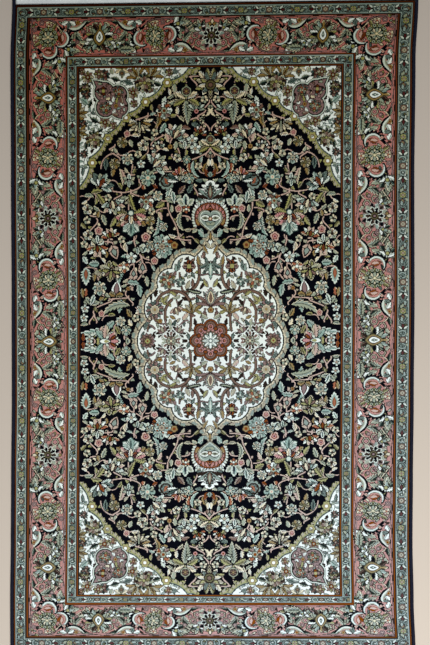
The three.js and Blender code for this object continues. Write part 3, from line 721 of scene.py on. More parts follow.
MEDALLION_MOTIFS = (
    At("hanging leaves", 0, 138, 18, 270), At("dark feather", 34, 94, 16, 0),
    At("wine flower", 43, 145, 13), At("blue flower", 60, 115, 10), At("shaggy flower", 86, 118, 16),
    At("mauve lotus", 0, 87, 20), At("gold bud", 0, 60, 7), At("gold lotus", 39, 66, 14, 80),
    At("tan flower", 111.5, 61, 17), At("gold bud", 101, 39, 5.5), At("half palmette", 68, 58, 10, 250),
    At("spiky leaf", 61, 24, 12, 118), At("spiky leaf", 98, 24, 12, 62), At("ring flower", 79, 0, 17),
    At("cup flower", 126, 0, 15, 180), At("star rosette", 0, 0, 42.5), At("grey floret", 16, 164, 4),
    At("half palmette", 122, 44, 6, 60),
)
PENDANT_LEAVES = (
    Leaf("aqua", 19, 209, 18, 8, 55), Leaf("sage", 31, 214, 12, 6, 150), Leaf("slate", 22, 276, 9, 6, 60),
    Leaf("gold", 9, 336, 20, 9, 110, 20), Leaf("rust", 8, 326, 16, 7, 70), Leaf("cream", 3, 346, 14, 7, 90),
    Leaf("sage", 9, 314, 12, 6, 20, 60), Leaf("mist", 0, 323, 10, 10, 90),
)

# Vines, leaves and flowers of the field
FIELD_VINES = (
    Vine(206, 301, 290, 176, 289, 0), Vine(176, 289, 180, 141, 308, 40), Vine(159, 294, 270, 163, 256, 265),
    Vine(157, 293, 310, 128, 272, 320), Vine(178, 288, 230, 193, 272, 260),
    Vine(207, 300, 100, 215, 318, 130), Vine(218, 336, 90, 192, 365, 175), Vine(192, 365, 0, 180, 352, 290),
    Vine(155, 347, 270, 157, 322, 270), Vine(141, 308, 60, 66, 326, 350), Vine(34, 311, 300, 25, 281, 270),
    Vine(84, 272, 280, 64, 203, 270), Vine(88, 258, 10, 106, 250, 200), Vine(66, 236, 60, 40, 236, 270),
    Vine(239, 247, 320, 218, 244, 10), Vine(227, 239, 230, 244, 208, 280), Vine(64, 203, 270, 42, 196, 0),
    Vine(200, 212, 270, 205, 190, 260), Vine(228, 186, 60, 196, 188, 320),
    Vine(152, 203, 280, 136, 150, 270), Vine(138, 166, 230, 162, 145, 180),
    Vine(153, 150, 270, 153, 138, 270), Vine(136, 138, 270, 166, 86, 215), Vine(166, 86, 190, 200, 82, 180),
    Vine(200, 82, 200, 234, 55, 250), Vine(234, 55, 240, 242, 34, 250), Vine(232, 52, 290, 228, 36, 300),
    Vine(203, 82, 150, 220, 96, 120), Vine(250, 140, 60, 226, 136, 300), Vine(226, 136, 290, 222, 110, 270),
    Vine(222, 126, 20, 205, 137, 60), Vine(168, 20, 290, 172, 4, 250), Vine(244, 14, 290, 232, 0, 310),
    Vine(134, 164, 320, 124, 158, 0), Vine(164, 88, 300, 156, 70, 320), Vine(40, 512, 0, 12, 510, 330),
    Vine(40, 512, 250, 28, 492, 300), Vine(48, 505, 270, 48, 500, 270), Vine(2, 466, 250, 10, 448, 230),
    Vine(10, 448, 240, 24, 434, 200), Vine(24, 434, 170, 42, 426, 200), Vine(24, 434, 350, 2, 408, 280),
    Vine(124, 442, 250, 146, 430, 180), Vine(142, 432, 270, 136, 418, 290), Vine(118, 380, 90, 96, 400, 0),
    Vine(80, 384, 100, 76, 400, 60), Vine(62, 468, 200, 84, 460, 120), Vine(0, 376, 270, 8, 358, 240),
    Vine(0, 376, 270, 44, 345, 190), Vine(44, 345, 180, 76, 362, 130), Vine(150, 338, 270, 156, 326, 270),
    Vine(190, 382, 250, 200, 372, 200), Vine(60, 358, 90, 66, 384, 100),
)
FIELD_LEAVES = (
    Leaf("moss", 220, 270, 42, 9, 236, 25), Leaf("moss", 153, 270, 35, 9, 248, -35),
    Leaf("sage", 172, 275, 20, 9, 160, 30), Leaf("moss", 101, 266, 20, 11, 330, 20),
    Leaf("copper", 24, 336, 46, 7, 250, -90), Leaf("aqua", 20, 334, 36, 6, 250, -95, 6),
    Leaf("aqua", 116, 225, 46, 10, 285, 70), Leaf("sage", 46, 231, 40, 9, 262, -100, 7),
    Leaf("blush", 101, 243, 17, 7, 250, 20), Leaf("sage", 212, 236, 22, 9, 250),
    Leaf("moss", 195, 233, 24, 8, 300, 20), Leaf("gold", 223, 247, 12, 6, 100),
    Leaf("olive", 253, 225, 14, 8, 230), Leaf("brown", 57, 294, 21, 9, 130),
    Leaf("slate", 39, 295, 19, 9, 120, 20), Leaf("gold", 194, 330, 20, 8, 280),
    Leaf("gold", 236, 306, 40, 8, 250, 60), Leaf("moss", 226, 290, 22, 9, 170, 20, 3),
    Leaf("blush", 181, 317, 34, 9, 260, 50, 6), Leaf("slate", 208, 344, 22, 9, 270),
    Leaf("sage", 77, 257, 14, 7, 90), Leaf("slate", 22, 311, 14, 7, 0), Leaf("aqua", 19, 211, 14, 9, 280),
    Leaf("moss", 31, 216, 12, 7, 30), Leaf("olive", 152, 330, 10, 6, 300), Leaf("brown", 4, 358, 8, 6, 90),
    Leaf("moss", 244, 172, 24, 7, 300, 150), Leaf("cream", 252, 188, 26, 8, 300, 150),
    Leaf("ice", 224, 198, 20, 8, 350, 90), Leaf("gold", 208, 169, 12, 7, 270),
    Leaf("aqua", 233, 151, 20, 12, 0), Leaf("ice", 250, 158, 16, 9, 240),
    Leaf("gold", 230, 127, 20, 8, 280, -20), Leaf("aqua", 172, 122, 34, 11, 290, -80),
    Leaf("aqua", 154, 111, 24, 10, 190, 30), Leaf("aqua", 142, 98, 24, 11, 262, 0, 3),
    Leaf("sage", 127, 116, 20, 8, 262), Leaf("aqua", 171, 166, 15, 6, 350),
    Leaf("copper", 250, 94, 18, 7, 276), Leaf("gold", 256, 94, 18, 6, 262),
    Leaf("sage", 207, 90, 13, 7, 30), Leaf("aqua", 181, 68, 26, 12, 280, 0, 4),
    Leaf("cream", 152, 66, 28, 10, 290, 90, 3), Leaf("gold", 163, 55, 17, 9, 60),
    Leaf("sage", 188, 50, 60, 13, 340, -75, 7), Leaf("aqua", 208, 36, 28, 11, 330, 60),
    Leaf("moss", 186, 22, 17, 11, 60), Leaf("cream", 158, 38, 14, 8, 60, 60),
    Leaf("ice", 242, 26, 40, 14, 350, 60, 3), Leaf("rust", 255, 8, 14, 6, 90),
    Leaf("moss", 224, 0, 20, 7, 84), Leaf("moss", 193, 17, 14, 9, 60), Leaf("blush", 218, 23, 12, 8, 100),
    Leaf("sage", 166, 0, 14, 10, 90), Leaf("olive", 231, 64, 9, 6, 90), Leaf("gold", 218, 83, 10, 6, 160),
    Leaf("sage", 250, 78, 14, 6, 90), Leaf("sage", 49, 443, 46, 15, 265, 15),
    Leaf("brown", 50, 412, 22, 8, 190, 20), Leaf("gold", 114, 430, 36, 9, 280, 80),
    Leaf("sage", 70, 488, 32, 8, 260, -10), Leaf("sage", 78, 468, 22, 8, 340, 70),
    Leaf("ice", 92, 467, 15, 8, 110), Leaf("aqua", 96, 414, 22, 9, 300, 20),
    Leaf("blush", 86, 394, 18, 8, 250), Leaf("brown", 31, 475, 14, 8, 340),
    Leaf("slate", 29, 419, 17, 8, 200), Leaf("moss", 24, 400, 20, 9, 300, -60),
    Leaf("cream", 66, 447, 15, 7, 90), Leaf("moss", 74, 437, 12, 7, 170),
    Leaf("sage", 158, 384, 14, 8, 250), Leaf("moss", 34, 524, 16, 9, 300, 0, 2),
    Leaf("sage", 19, 382, 12, 6, 240), Leaf("aqua", 8, 376, 12, 7, 250), Leaf("moss", 54, 505, 12, 6, 10),
    Leaf("sage", 69, 379, 16, 8, 280), Leaf("gold", 90, 430, 14, 6, 0),
    Leaf("cream", 16, 446, 20, 5, 300, -120), Leaf("cream", 13, 444, 20, 5, 290, 120),
    Leaf("ice", 84, 288, 24, 10, 290, 10), Leaf("copper", 133, 299, 9, 7, 90),
    Leaf("rust", 110, 300, 10, 6, 30),
)
FIELD_MOTIFS = (
    At("pink lotus", 158.5, 229, 27, 270), At("striped fan", 192, 258, 17, 255),
    At("brown rosette", 128, 271, 15), At("teal rosette", 124.5, 317, 16),
    At("curled palmette", 87, 309, 18, 60), At("red crown", 61, 324, 18), At("teal rosette", 42, 315, 10),
    At("blue fan", 213, 314, 18, 120), At("striped fan", 100, 350, 19, 140),
    At("pale floret", 66, 355, 9, 60), At("teal rosette", 47, 352, 8), At("white star", 138, 344, 8),
    At("grey star", 165, 354, 12), At("gold rosette", 191, 345, 11), At("pale tulip", 162, 318, 9),
    At("pale tulip", 162, 306, 8, 270), At("pale tulip", 74, 280, 13, 80), At("aqua tulip", 49, 272, 13),
    At("rose bud", 63, 257, 8), At("orange star", 48, 256, 8), At("grey star", 94, 222, 9),
    At("rose bud", 129, 202, 10), At("rose bud", 223, 215, 9), At("pale floret", 244, 207, 11),
    At("red fan", 201, 212, 12, 80), At("pale tulip", 226, 199, 9), At("pale floret", 245, 257, 11),
    At("pale floret", 246, 236, 8), At("aqua rosette", 97, 184, 25), At("aqua tulip", 132, 180, 8, 300),
    At("red fan", 226, 174, 14, 270), At("bell", 192, 173, 14, 250),
    At("red heart leaf", 249, 127, 17, 270), At("grey star", 222, 103, 14), At("maple", 204, 144, 17, 100),
    At("maple", 200, 128, 16, 280), At("brown tulip", 188, 102, 15, 95), At("white star", 158, 162, 11),
    At("orange star", 173, 144, 11), At("bell", 154, 131, 11), At("bell", 136, 143, 12),
    At("pale tulip", 145, 176, 8, 270), At("gold bud", 165, 102, 5), At("pale tulip", 236, 81, 12, 110),
    At("white star", 251, 64, 8), At("white star", 253, 46, 8), At("rose bud", 218, 54, 7),
    At("teal rosette", 169, 21, 10), At("white star", 242, 4, 8), At("side palmette", 204, 0, 27, 180),
    At("great lotus", 0, 493, 28, 270), At("spiky fan", 28, 457, 12), At("crest", 48, 484, 16),
    At("striped fan", 64, 408, 18, 120), At("crest", 0, 391, 14), At("red fan", 18, 409, 9, 120),
    At("white star", 36, 389, 11), At("white star", 30, 373, 11), At("brown rosette", 92, 447, 16, 0),
    At("cream lotus", 141, 411, 19, 270), At("gold rosette", 176, 386, 11), At("pale floret", 134, 380, 12),
    At("striped fan", 107, 380, 11, 60), At("gold bud", 80, 377, 6), At("pale floret", 17, 425, 5),
    At("rose bud", 166, 403, 7), At("pale tulip", 51, 381, 9), At("grey star", 121, 188, 8),
    At("rose bud", 112, 156, 8), At("gold bud", 72, 186, 9),
)

# The pale corner: where its edge's cusps lie, the flowers at them, and what grows inside
Cusp = namedtuple("Cusp", "across up")
SPANDREL_BOX = (20, 296, 262, 532)
SPANDREL_CUSPS = (
    Cusp(26, 534), Cusp(44, 531), Cusp(93, 507), Cusp(134, 472), Cusp(174, 443), Cusp(212, 403),
    Cusp(243, 358), Cusp(264, 300),
)
CUSP_FLOWERS = (Cusp(86, 501), Cusp(129, 464), Cusp(168, 434), Cusp(204, 394), Cusp(235, 347))
SPANDREL_PALE = (
    Vine(140, 520, 300, 176, 496, 0), Vine(176, 496, 330, 196, 512, 60), Vine(232, 520, 200, 196, 512, 160),
    Vine(240, 502, 250, 248, 472, 280), Vine(236, 470, 300, 254, 452, 300),
    Vine(226, 440, 280, 236, 400, 300), Vine(156, 470, 60, 160, 492, 100),
    Vine(100, 520, 300, 124, 490, 300), Vine(60, 526, 330, 100, 508, 330),
    Vine(216, 430, 300, 246, 420, 20), Vine(246, 376, 250, 252, 346, 270),
    Vine(140, 484, 200, 118, 500, 150),
)
SPANDREL_LEAVES = (
    Leaf("slate", 163, 502, 18, 9, 205), Leaf("forest", 189, 509, 15, 8, 15, 0, 3),
    Leaf("forest", 201, 502, 12, 6, 60, 40), Leaf("forest", 106, 499, 15, 8, 20),
    Leaf("brown", 159, 525, 14, 6, 170), Leaf("forest", 240, 461, 14, 7, 290),
    Leaf("mist", 251, 467, 18, 12, 40), Leaf("forest", 231, 430, 16, 9, 30, 0, 3),
    Leaf("sage", 196, 524, 10, 8, 70), Leaf("forest", 148, 512, 12, 6, 330),
    Leaf("slate", 70, 521, 12, 6, 340), Leaf("forest", 236, 505, 14, 5, 60, 0, 3),
    Leaf("umber", 229, 470, 9, 6, 70), Leaf("forest", 248, 380, 14, 7, 280),
    Leaf("forest", 168, 484, 14, 6, 240), Leaf("forest", 220, 410, 12, 6, 330),
    Leaf("slate", 254, 330, 14, 5, 275), Leaf("forest", 146, 496, 12, 5, 40),
    Leaf("brown", 118, 486, 12, 5, 320), Leaf("forest", 200, 420, 10, 5, 40),
)
SPANDREL_MOTIFS = (
    At("garnet flower", 211, 517, 10), At("copper flower", 222, 519, 9), At("crest", 176, 520, 9, 270),
    At("gold lotus", 150, 522, 14, 60), At("gold lotus", 112, 524, 15, 120), At("dark star", 131, 501, 19),
    At("copper flower", 154, 482, 11), At("copper flower", 152, 461, 7), At("copper flower", 244, 513, 11),
    At("dark star", 249, 490, 11), At("garnet flower", 247, 479, 8), At("gold lotus", 254, 444, 13, 170),
    At("copper flower", 210, 425, 11), At("copper flower", 193, 419, 7), At("dark star", 232, 392, 17),
    At("garnet flower", 254, 422, 8), At("gold lotus", 254, 404, 11, 200), At("copper flower", 82, 521, 7),
    At("garnet flower", 252, 364, 7), At("copper flower", 256, 524, 6),
)

# The corner's shield: round lobes with two points, and what it holds
Lobe = namedtuple("Lobe", "across up radius")
SHIELD_BOX = (160, 430, 240, 505)
SHIELD_LOBES = (Lobe(184, 478, 17), Lobe(211, 484, 18), Lobe(209, 454, 17), Lobe(183, 455, 18))
SHIELD_LEAVES = (
    Leaf("ivory", 193, 470, 11, 5, 95), Leaf("ivory", 200, 463, 11, 5, 20),
    Leaf("ivory", 176, 460, 8, 6, 40), Leaf("ivory", 192, 446, 9, 5, 310),
    Leaf("cream", 204, 471, 9, 5, 340), Leaf("brown", 176, 471, 18, 6, 80, 20),
    Leaf("brown", 190, 440, 12, 6, 10), Leaf("moss", 186, 468, 12, 4, 100),
)
SHIELD_MOTIFS = (
    At("wine flower", 213, 486, 9), At("shaggy flower", 184, 484, 10), At("gold bud", 188, 457, 5),
    At("shaggy flower", 209, 453, 11), At("grey floret", 194, 480, 5), At("grey floret", 199, 491, 4),
    At("grey floret", 222, 462, 4),
)

# What goes into gaps of the rose border, narrow borders, medallion, corner, its shield and the field
ROSE_FILLERS = (
    Filler(8, ("grey floret", "pink floret"), ("sage", "mauve", "slate")),
    Filler(5.6, ("grey floret",), ("sage", "mist", "olive", "mauve")),
    Filler(4, (), ("sage", "mauve", "slate", "cream", "forest")),
    Filler(2.8, (), ("umber", "sage", "blush", "tan")),
)
GUARD_FILLERS = (
    Filler(3.6, (), ("ice", "sky", "tan", "ice", "sage")),
    Filler(2.4, (), ("sky", "mist", "olive", "ice", "brown")),
)
IVORY_FILLERS = (
    Filler(8.5, ("copper flower",), ("sage", "brown", "moss", "slate")),
    Filler(6.2, ("grey floret",), ("sage", "brown", "tan", "slate", "moss")),
    Filler(4.6, (), ("brown", "umber", "sage", "slate", "tan")),
)
PALE_FILLERS = (
    Filler(4.4, (), ("mist", "ice", "sage", "sky")),
    Filler(3.2, (), ("ice", "mist", "tan", "ice", "slate")),
)
SHIELD_FILLERS = (
    Filler(4.8, ("grey floret",), ("blush", "sage", "mist")),
    Filler(3.6, (), ("ice", "tan", "brown", "blush", "sage")),
    Filler(2.6, (), ("blush", "umber", "mist", "umber")),
)
FIELD_FILLERS = (
    Filler(11, ("grey star", "gold rosette"), ("moss", "sage", "cream")),
    Filler(8.5, ("pale floret",), ("olive", "sage", "cream", "moss", "tan")),
    Filler(7.2, (), ("moss", "cream", "sage", "tan", "mist")),
)


def field(chart):
    """The dark field: vines with sprigs, then their leaves and flowers."""
    chart.outline, chart.edge = "night", 2.2
    lines = [vine_line(vine) for vine in FIELD_VINES]
    for line in lines:
        sprigs(chart, line, ("moss", "sage", "cream", "tan", "olive", "blush"))
    for width, yarn in ((5, "night"), (2.3, "blush")):
        for line in lines:
            chart.stroke(line, width, yarn)
    plant(chart, FIELD_LEAVES, FIELD_MOTIFS, 0.95)
    chart.edge = 1.5


# Lobes of the medallion, how far up its tip reaches, and where the tip's sloping side starts
MEDALLION_LOBES = (
    Lobe(49, 140, 27.5), Lobe(80, 114, 26), Lobe(98, 63, 33.5), Lobe(100, 0, 45.3), Lobe(0, 60, 92),
    Lobe(50, 60, 70),
)
TIP = 199
TIP_FOOT = Cusp(30.4, 163)


def medallion_gap(across, up):
    """How far a knot lies outside the medallion, and how far round its nearest lobe."""
    gap = np.full(np.broadcast(across, up).shape, 1e9)
    around = np.zeros(gap.shape)
    for lobe in MEDALLION_LOBES:
        past = np.hypot(across - lobe.across, up - lobe.up) - lobe.radius
        turn = np.arctan2(up - lobe.up, across - lobe.across) * lobe.radius
        nearer = past < gap
        gap = np.where(nearer, past, gap)
        around = np.where(nearer, turn, around)
    rise = TIP - TIP_FOOT.up
    run = np.hypot(TIP_FOOT.across, rise)
    slope = across * rise / run + (up - TIP) * TIP_FOOT.across / run
    slope = slope + 2.2 * np.sin(math.pi * np.clip((TIP - up) / rise, 0, 1))
    tip = np.maximum(slope, 140 - up)
    nearer = tip < gap
    return np.where(nearer, tip, gap), np.where(nearer, up, around)


def medallion(chart):
    """Within a band of pale leaves, each with a dark nick at its outer edge, the medallion's ivory ground
    with straps, leaves and flowers."""
    gap, around = medallion_gap(np.arange(RUG.column)[None, :] + 0.5, np.arange(RUG.row)[:, None] + 0.5)
    leaf_step = (around / 15 + 0.16 * np.sin(around / 5.3)) % 1
    bead_step = around / 3.75 % 1
    tooth = 3.4 * leaf_step ** 0.6 + 1.3 * bead_step

    def vein(at, slant, width):
        return np.abs((leaf_step - gap * slant) % 1 - at) < width

    for yarn, where in (
        ("night", gap < 10.8 + tooth),
        ("tan", gap < 9.6 + tooth),
        ("mist", (gap < 9 + tooth) & (gap > 7) & (leaf_step > 0.4)),
        ("umber", (gap < 9.4 + tooth) & (gap > 3) & vein(0.1, 0.03, 0.05)),
        ("cream", (gap < 7.4) & (gap > 4.4) & vein(0.5, 0.02, 0.06)),
        ("brown", (gap < 7.6) & (gap > 6.4) & (bead_step < 0.4)),
        ("cream", (gap < 4.4) & (around / 7.5 % 1 < 0.6)),
        ("umber", gap < 2.6),
        ("forest", gap < 2),
        ("ivory", gap < 0),
    ):
        chart.knots[where] = NUMBER[yarn]
    chart.outline = "umber"
    for vine in STRAPS:
        sprigs(chart, vine_line(vine), ("sage", "brown", "slate", "moss", "tan"), 14, 7.5)
    for vine in STRAPS:
        strap(chart, vine, "umber", "brown" if vine.width > 2 else "mauve")
    plant(chart, MEDALLION_LEAVES, MEDALLION_MOTIFS)
    fill_gaps(chart, (0, 0, 150, 200), "ivory", IVORY_FILLERS)


def heart(chart, middle, size, half, yarn):
    """A heart shape that points down: two round lobes on a foot whose half width is a quarter of a sine."""
    def inside(along, out):
        out = np.abs(out)
        t = np.clip((along + size * 0.86) / (size * 0.86), 0, 1)
        foot = (along <= 0) & (along > -size * 0.86) & (out <= half * np.sin(math.pi / 2 * t ** 1.1))
        lobes = (along > 0) & (np.hypot((out - half * 0.42) / (half * 0.58), along / (size * 0.5)) <= 1)
        return foot | lobes

    chart.fill(middle, size + half, inside, yarn)


def pendant(chart):
    """A heart-shaped cup on the medallion's tip, under a red crown, a lace of small blades and a finial."""
    chart.outline = "night"
    level = 238

    def on_ring(turn, wide, high, lean=0.0):
        c, s = math.cos(math.radians(turn)), math.sin(math.radians(turn))
        return Place(wide * c, level + high * s, turn + lean), s

    # lace and crown lie on an arc that is thick at the top and thin at its two feet
    angle = np.radians(np.linspace(-26, 90, 60))
    crown = np.column_stack([27 * np.cos(angle), level + 23 * np.sin(angle)])
    thick = 7 + 7 * np.clip(np.sin(angle), 0, 1)
    for turn in range(-24, 91, 9):
        at, s = on_ring(turn, 30, 30)
        blade(chart, at, 7 + 5 * max(s, 0), 4.6, "ice" if s < 0.5 else "ivory", blunt=0.6, outline="umber")
    for grow, share, yarn in ((3, 1, "umber"), (0.6, 1, "rust"), (0, 0.72, "copper")):
        chart.stroke(crown, thick * share + grow, yarn)
    for turn in range(-12, 91, 17):
        at, s = on_ring(turn, 24, 19, 24)
        blade(chart, at, 7 + 4 * s, 4.4, "rose", 40, 2, 0.8, outline="umber")
    chart.stroke(crown[:9], 5, "gold")
    for across, up in ((21, 272), (9, 278)):
        paint(chart, "white star", Place(across, up), 8)
    for size, half, yarn in ((33, 26, "umber"), (31.5, 24.6, "tan"), (29.8, 23, "teal"), (28.6, 21.8, "ice"),
                             (26, 19.6, "mist")):
        heart(chart, Place(0, level, 90), size, half, yarn)
    for start, length, width, yarn in ((0, 22, 14, "umber"), (1, 20, 11, "ivory"), (4, 14, 6, "sage"),
                                       (7, 8, 2, "umber")):
        blade(chart, Place(start, 237 + start * 0.1, 14), length, width, yarn, -20)
    paint(chart, "heart flower", Place(0, 237), 5)
    blade(chart, Place(0, 226), 10, 5, "sage", 50, blunt=0.8, outline="teal")
    plant(chart, PENDANT_LEAVES, ())
    paint(chart, "finial", Place(0, 291, 90), 21)
    blade(chart, Place(0, 194, 90), 20, 5, "umber")
    blade(chart, Place(0, 196, 90), 15, 2.8, "gold")


def spandrel_gap(x, y):
    """How far a knot lies outside the spandrel towards the field, and how far along its edge. Between two
    cusps the edge bulges by a sine. A knot in the field is nearer to the pole than the edge is."""
    cusps = np.array(SPANDREL_CUSPS, float)
    points = []
    for a, b in zip(cusps, cusps[1:]):
        run = np.hypot(*(b - a))
        out = np.array([(b - a)[1], -(b - a)[0]]) / run
        t = np.linspace(0, 1, int(run / 1.2) + 2)[:-1, None]
        bulge = min(8.5, run * 0.19) * np.sin(math.pi * t) ** 0.8
        points.append(a + (b - a) * t + out * bulge)
    points = np.vstack([*points, cusps[-1:]])
    pole = np.array([60.0, 250.0])
    rim = points - pole
    angle = np.arctan2(rim[:, 1], rim[:, 0])
    order = np.argsort(angle)
    edge = np.interp(np.arctan2(y - pole[1], x - pole[0]), angle[order], np.hypot(*rim.T)[order])
    outside = np.hypot(x - pole[0], y - pole[1]) < edge
    best = np.full(np.broadcast(x, y).shape, 1e9)
    along = np.zeros(best.shape)
    for (across, up), place in zip(points, lengths_along(points)):
        gap = np.hypot(x - across, y - up)
        nearer = gap < best
        best = np.where(nearer, gap, best)
        along = np.where(nearer, place, along)
    return np.where(outside, best, -best), along


def spandrel(chart):
    """The pale corner: its toothed band, the flowers at its cusps, its growth and its shield."""
    chart.outline = "umber"
    low_x, low_y, high_x, high_y = SPANDREL_BOX
    knots = chart.knots[low_y:high_y, low_x:high_x]
    x = np.arange(low_x, high_x)[None, :] + 0.5
    y = np.arange(low_y, high_y)[:, None] + 0.5
    gap, along = spandrel_gap(x, y)
    step = along / 9.5 % 1
    tooth = 4.2 * step ** 0.7 + 1.2 * (along / 2.4 % 1)
    for yarn, where in (
        ("night", gap < 8.2 + tooth),
        ("moss", gap < 7 + tooth),
        ("tan", (gap < 6.2 + tooth) & (gap > 5.4) & (step > 0.3)),
        ("umber", (gap < 7 + tooth) & (gap > 4) & (np.abs((step - gap * 0.04) % 1 - 0.1) < 0.06)),
        ("slate", gap < 2.6),
        ("forest", gap < 1.2),
        ("ivory", gap < -0.5),
    ):
        knots[where] = NUMBER[yarn]
    for cusp in CUSP_FLOWERS:
        paint(chart, "cusp flower", Place(*cusp), 11)
    for vine in SPANDREL_PALE:
        chart.stroke(vine_line(vine), 1.6, "slate")
    plant(chart, SPANDREL_LEAVES, SPANDREL_MOTIFS)
    for grow, yarn in ((5.4, "forest"), (4.2, "ice"), (2.4, "teal"), (1.2, "umber"), (-0.2, "mauve")):
        for lobe in SHIELD_LOBES:
            bloom(chart, Place(lobe.across, lobe.up), lobe.radius + grow, yarn)
        blade(chart, Place(196, 478, 38), 44 + grow * 1.6, 18 + grow * 2, yarn)
        blade(chart, Place(192, 452, 232), 24 + grow, 14 + grow * 2, yarn)
    plant(chart, SHIELD_LEAVES, SHIELD_MOTIFS)
    fill_gaps(chart, SHIELD_BOX, "mauve", SHIELD_FILLERS, 2)
    inner_box = (60, 300, *FIELD_BOX[2:])
    fill_gaps(chart, inner_box, "ivory", IVORY_FILLERS)
    chart.outline = "slate"
    fill_gaps(chart, inner_box, "ivory", PALE_FILLERS, 2)


def edge_lines(chart):
    """Wavy twin lines, dark and mauve, along both sides of the main border."""
    for column, row, yarn, phase in ((359, 626, "umber", 0), (356.5, 623.5, "mauve", 1.6),
                                     (291.5, 558.5, "umber", 0), (294, 561, "mauve", 1.6)):
        up = np.arange(0, row, 0.5)
        chart.stroke(np.column_stack([column + 1.2 * np.sin(up * 0.13 + phase), up]), 1.4, yarn)
        across = np.arange(0, column, 0.5)
        chart.stroke(np.column_stack([across, row + 1.2 * np.sin(across * 0.13 + phase)]), 1.4, yarn)


def guard(chart, inner, outer):
    """A narrow border, drawn on a copy from which only what lies between its two lines is taken."""
    drawn = Chart(chart.knots, "forest")
    half = (outer.column - inner.column) / 2
    guard_run(drawn, inner.column + half, half, inner.row, False)
    guard_run(drawn, inner.row + half, half, inner.column, True)
    for box in ((inner.column, 0, *outer), (0, inner.row, *outer)):
        fill_gaps(drawn, box, "slate", GUARD_FILLERS, 2)
    chart.take(drawn, (inner.column + 2.6, inner.row + 2.6), (outer.column - 1.8, outer.row - 1.8))


def mottle(chart, ground, yarns):
    """Single knots of a ground in other yarns, one knot in twelve each, at places that a sine scatters."""
    column = np.arange(RUG.column)[None, :]
    row = np.arange(RUG.row)[:, None]
    chance = np.sin(column * 12.9898 + row * 78.233) * 43758.5453 % 1 * 12
    for i, yarn in enumerate(yarns):
        chosen = (chart.knots == NUMBER[ground]) & (chance > i) & (chance < i + 1)
        chart.knots[chosen] = NUMBER[yarn]


def draw():
    """The quarter's yarn numbers: what grows in the field first, and then the borders over what strays."""
    chart = Chart(np.zeros((RUG.row, RUG.column), np.uint8), "night")
    for band in BANDS:
        chart.knots[:band.row, :band.column] = NUMBER[band.yarn]
    plain = Chart(chart.knots, "night")
    field(chart)
    medallion(chart)
    pendant(chart)
    spandrel(chart)
    chart.outline = "night"
    fill_gaps(chart, FIELD_BOX, "night", FIELD_FILLERS, 3, "blush")
    chart.take(plain, FIELD, RUG)
    edge_lines(chart)
    main_border(chart)
    chart.take(plain, BORDER[1], RUG)
    chart.take(plain, FIELD, BORDER[0])
    guard(chart, *INNER_GUARD)
    guard(chart, *OUTER_GUARD)
    mottle(chart, "rose", ("mauve", "pink"))
    mottle(chart, "slate", ("forest", "sky", "teal"))
    return chart.knots


# The rug's outline

SIDE = {-1: "left", 1: "right"}
END = {1: "top", -1: "bottom"}


def stray(side, along):
    """How far a long side strays outwards, eased with 3tt - 2ttt between the rows of the table."""
    places = np.array([row.along for row in reversed(SIDE_STRAY)], float)
    values = np.array([getattr(row, side) for row in reversed(SIDE_STRAY)], float)
    step = np.clip(np.searchsorted(places, along, side="right") - 1, 0, len(places) - 2)
    t = np.clip((along - places[step]) / (places[step + 1] - places[step]), 0, 1)
    return values[step] + (values[step + 1] - values[step]) * t * t * (3 - 2 * t)


def side_line(direction, along):
    """Outer line of a long side, -1 for the left one: half the width plus the stray there."""
    return direction * (RUG_WIDTH / 2 + stray(SIDE[direction], along))


def end_line(direction, across):
    """Line where the pile stops at an end, 1 for the top one: it climbs evenly from left to right."""
    return direction * (PILE_LENGTH / 2 + END_SLANT[direction] * across / RUG_WIDTH)


# How far the solids were moved to put the origin in the middle: their body's top right corner shows it
BODY_INSET = CORD_WIDTH + PARTING_GAP
BODY_CORNER = Vector(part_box("rug_body")[1]) / MM
OUTER_CORNER = side_line(1, SIDE_STRAY[0].along) - BODY_INSET
SHIFT = np.array([BODY_CORNER.x - OUTER_CORNER, BODY_CORNER.y - end_line(1, OUTER_CORNER), 0])


# Meshes from arrays of points


def lattice(rows, columns, wrap=False, start=0):
    """Quads between the neighbours of a grid of points, counted row by row; wrap joins the last column
    to the first."""
    r = np.arange(rows - 1)[:, None] * columns
    c = np.arange(columns if wrap else columns - 1)[None, :]
    d = (c + 1) % columns
    return start + np.stack([r + c, r + d, r + columns + d, r + columns + c], axis=-1).reshape(-1, 4)


def rim(rows, columns, start=0):
    """The numbers of the points round a grid's edge, in turn, where the grid is counted row by row."""
    index = start + np.arange(rows * columns).reshape(rows, columns)
    return np.concatenate([index[0, :-1], index[:-1, -1], index[-1, :0:-1], index[:0:-1, 0]])


def piece(name, points, faces, material, nodes=()):
    """A smooth mesh object from points in millimetres, which rides on the rug and stands for CAD nodes."""
    mesh = bpy.data.meshes.new(name)
    mesh.from_pydata((np.asarray(points, float).reshape(-1, 3) + SHIFT) * MM, [], faces)
    mesh.shade_smooth()
    mesh.materials.append(material)
    made = bpy.data.objects.new(name, mesh)
    bpy.context.scene.collection.objects.link(made)
    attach(made, "root")
    if nodes:
        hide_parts(*nodes)
    return made


